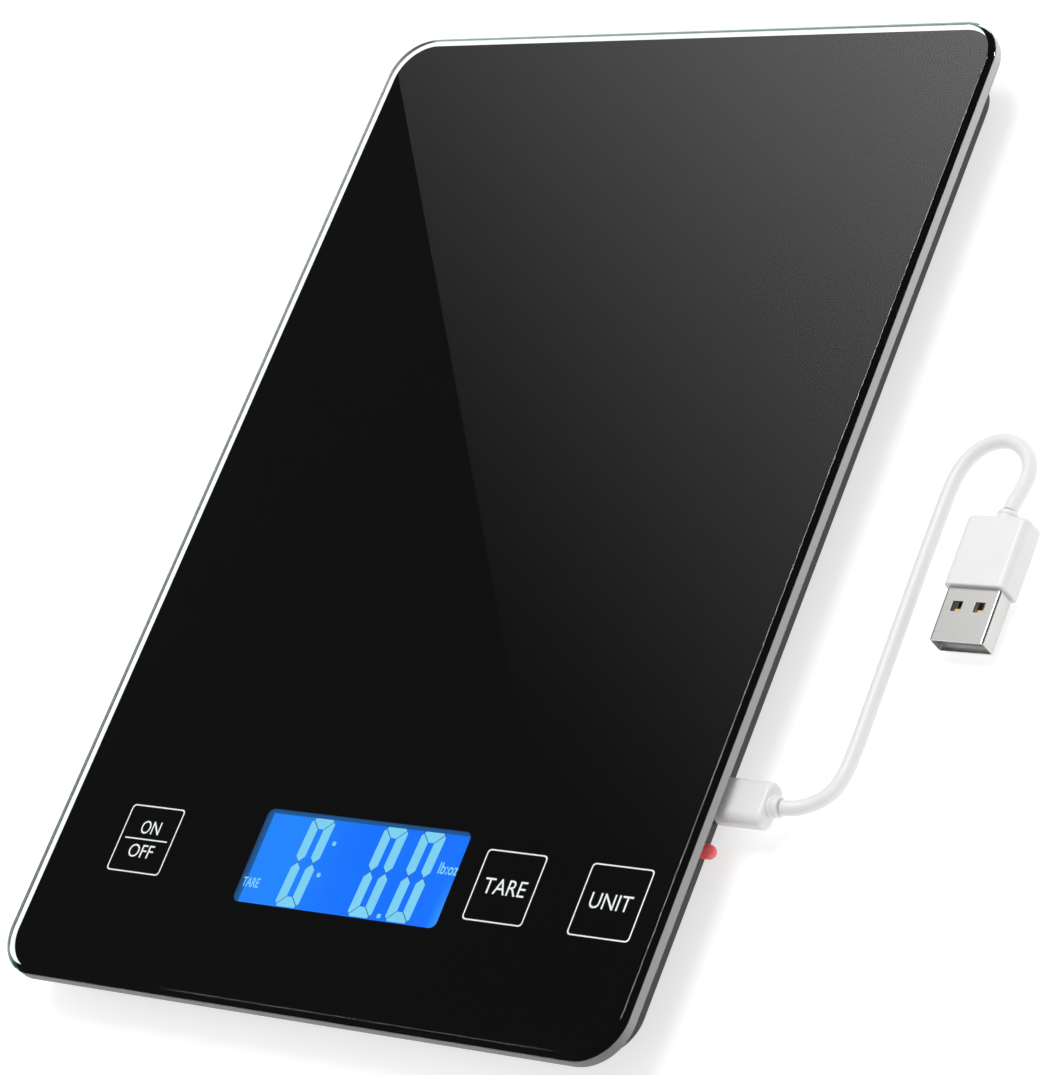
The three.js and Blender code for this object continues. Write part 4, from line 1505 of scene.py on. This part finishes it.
@dataclass(frozen=True)
class MirroredPanel:
    """The graded panel that the glass mirrors, brighter away from its one straight edge.

    The directions lead from the glass to the panel and level along it, and its first corner lies across
    and down from its middle. The root of its brightness starts at level, rises away from the straight
    edge and fades along it, by so much a metre.
    """

    away: Point = (-0.633, 0.3752, 0.6771)
    across: Point = (0.5099, 0.8603, 0)
    distance: float = 1.5
    corner: Flat = (0.1308, 0.2027)
    slant: Flat = (0.5751, 0.8181)  # sine and cosine of the straight edge's slant
    depth: float = 0.42
    reach: Flat = (-0.12, 0.78)
    level: float = 0.152
    rise: float = 0.67
    fade: float = 0.346
    mirror_share: float = 0.055

    def make(self, mirrored: float) -> None:
        """Adds the panel.

        Args:
            mirrored: The brightness of the room round it.
        """
        away, across = Vector(self.away).normalized(), Vector(self.across)
        centre = Vector((0, 0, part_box("glass_platform")[1].z)) + away * self.distance
        upward = away.cross(across)
        if upward.z < 0:
            upward.negate()
        start = centre + across * self.corner[0] - upward * self.corner[1]
        sine, cosine = self.slant
        along = (-sine * across + cosine * upward).normalized()
        inward = (cosine * across + sine * upward).normalized()
        (first, last), deep = self.reach, self.depth
        bm = bmesh.new()
        corners = ((0, first), (deep, first), (deep, last), (0, last))
        bm.faces.new([bm.verts.new(start + inward * s + along * t) for s, t in corners])
        material = bpy.data.materials.new("panel")
        material.use_nodes = True
        material.node_tree.nodes.clear()
        build = Nodes(material.node_tree)
        place = build.add("NewGeometry").outputs["Position"]
        shift = build.add("VectorMath", {0: place, 1: start}, operation="SUBTRACT").outputs[0]
        inwards, alongside = (
            build.add("VectorMath", {0: shift, 1: way}, operation="DOT_PRODUCT").outputs["Value"]
            for way in (inward, along)
        )
        root = build.varied(build.varied(self.level, inwards, self.rise), alongside, -self.fade)
        shown = build.math("POWER", build.math("MAXIMUM", root, 0.0), 2.0)
        strength = build.math("ADD", build.math("DIVIDE", shown, self.mirror_share), mirrored)
        glow = build.add("Emission", {"Strength": strength})
        build.add("OutputMaterial", {"Surface": glow.outputs[0]})
        stage_mesh("panel", bm, material).visible_camera = False


@dataclass(frozen=True)
class Stage:
    """The pale floor and the soft lights round it, in metres."""

    floor: float = 6.0
    floor_drop: float = 0.05 * MM
    floor_glow: float = 0.62
    ambient: float = 0.62
    mirrored: float = 0.085
    lights: tuple[SoftLight, ...] = (
        SoftLight("overhead", (-0.08, 0.62, 1.5), (0, 0, 0), 0.7, 12.0),
        SoftLight("right_side", (0.46, 0.52, 0.085), (0.08, 0.1, 0.01), 0.15, 10.0, ("glass_slab",)),
        SoftLight("front_rim", (-1.2, -0.22, 1.45), (0, -0.116, 0.015), 0.25, 1.2),
    )

    def build(self) -> None:
        """Makes the floor, the world, the lights and the panel."""
        self.make_floor()
        self.make_world()
        for light in self.lights:
            light.make()
        MirroredPanel().make(self.mirrored)

    def make_floor(self) -> None:
        """Makes the floor, plain and pale."""
        bm = bmesh.new()
        bmesh.ops.create_grid(bm, x_segments=1, y_segments=1, size=self.floor / 2)
        material, build, shader = start_material("floor")
        grain = build.noise(3, 2, build.add("TexCoord").outputs["Object"])
        build.fill(shader, {
            "Base Color": build.mix(grain, (0.6, 0.6, 0.6, 1), (0.59, 0.59, 0.59, 1)),
            "Emission Color": (1, 1, 1, 1), "Emission Strength": self.floor_glow,
            "Roughness": 0.8, "Specular IOR Level": 0.1,
        })
        stage_mesh("floor", bm, material).location.z = -self.floor_drop

    def make_world(self) -> None:
        """Sets an even surrounding: dim where it is mirrored, bright where it only lights."""
        world = bpy.data.worlds.new("room")
        world.use_nodes = True
        build = Nodes(world.node_tree)
        lights_only = build.add("LightPath").outputs["Is Diffuse Ray"]
        strength = build.varied(self.mirrored, lights_only, self.ambient - self.mirrored)
        background = world.node_tree.nodes["Background"]
        build.fill(background, {"Color": (1, 1, 1, 1), "Strength": strength})
        bpy.context.scene.world = world


# ---- the scene -------------------------------------------------------------------------------


def finish_cad_nodes(finishes: dict[str, Material]) -> None:
    """Gives every CAD node its slot's finish, so that those that stay on show are dressed too."""
    for subpart in frame["record"]["subparts"]:
        node = frame["nodes"].get(subpart["node"])
        if node is not None:
            node.data.materials.clear()
            node.data.materials.append(finishes[subpart["material_slot"]])


def main() -> None:
    """Builds the whole scene."""
    logging.basicConfig(level=logging.INFO, format="%(name)s: %(message)s")
    bpy.context.scene.view_settings.view_transform = "Standard"
    finishes = make_finishes()
    CameraSpec().make()
    finish_cad_nodes(finishes)
    outside = (ChargingLead, GlassPlatform, PrintedLayer, Display, ChargeLamp)
    for assembly in (*outside, Housing, ChargingSocket):
        assembly(finishes).build()
    Stage().build()


if __name__ == "__main__":
    main()
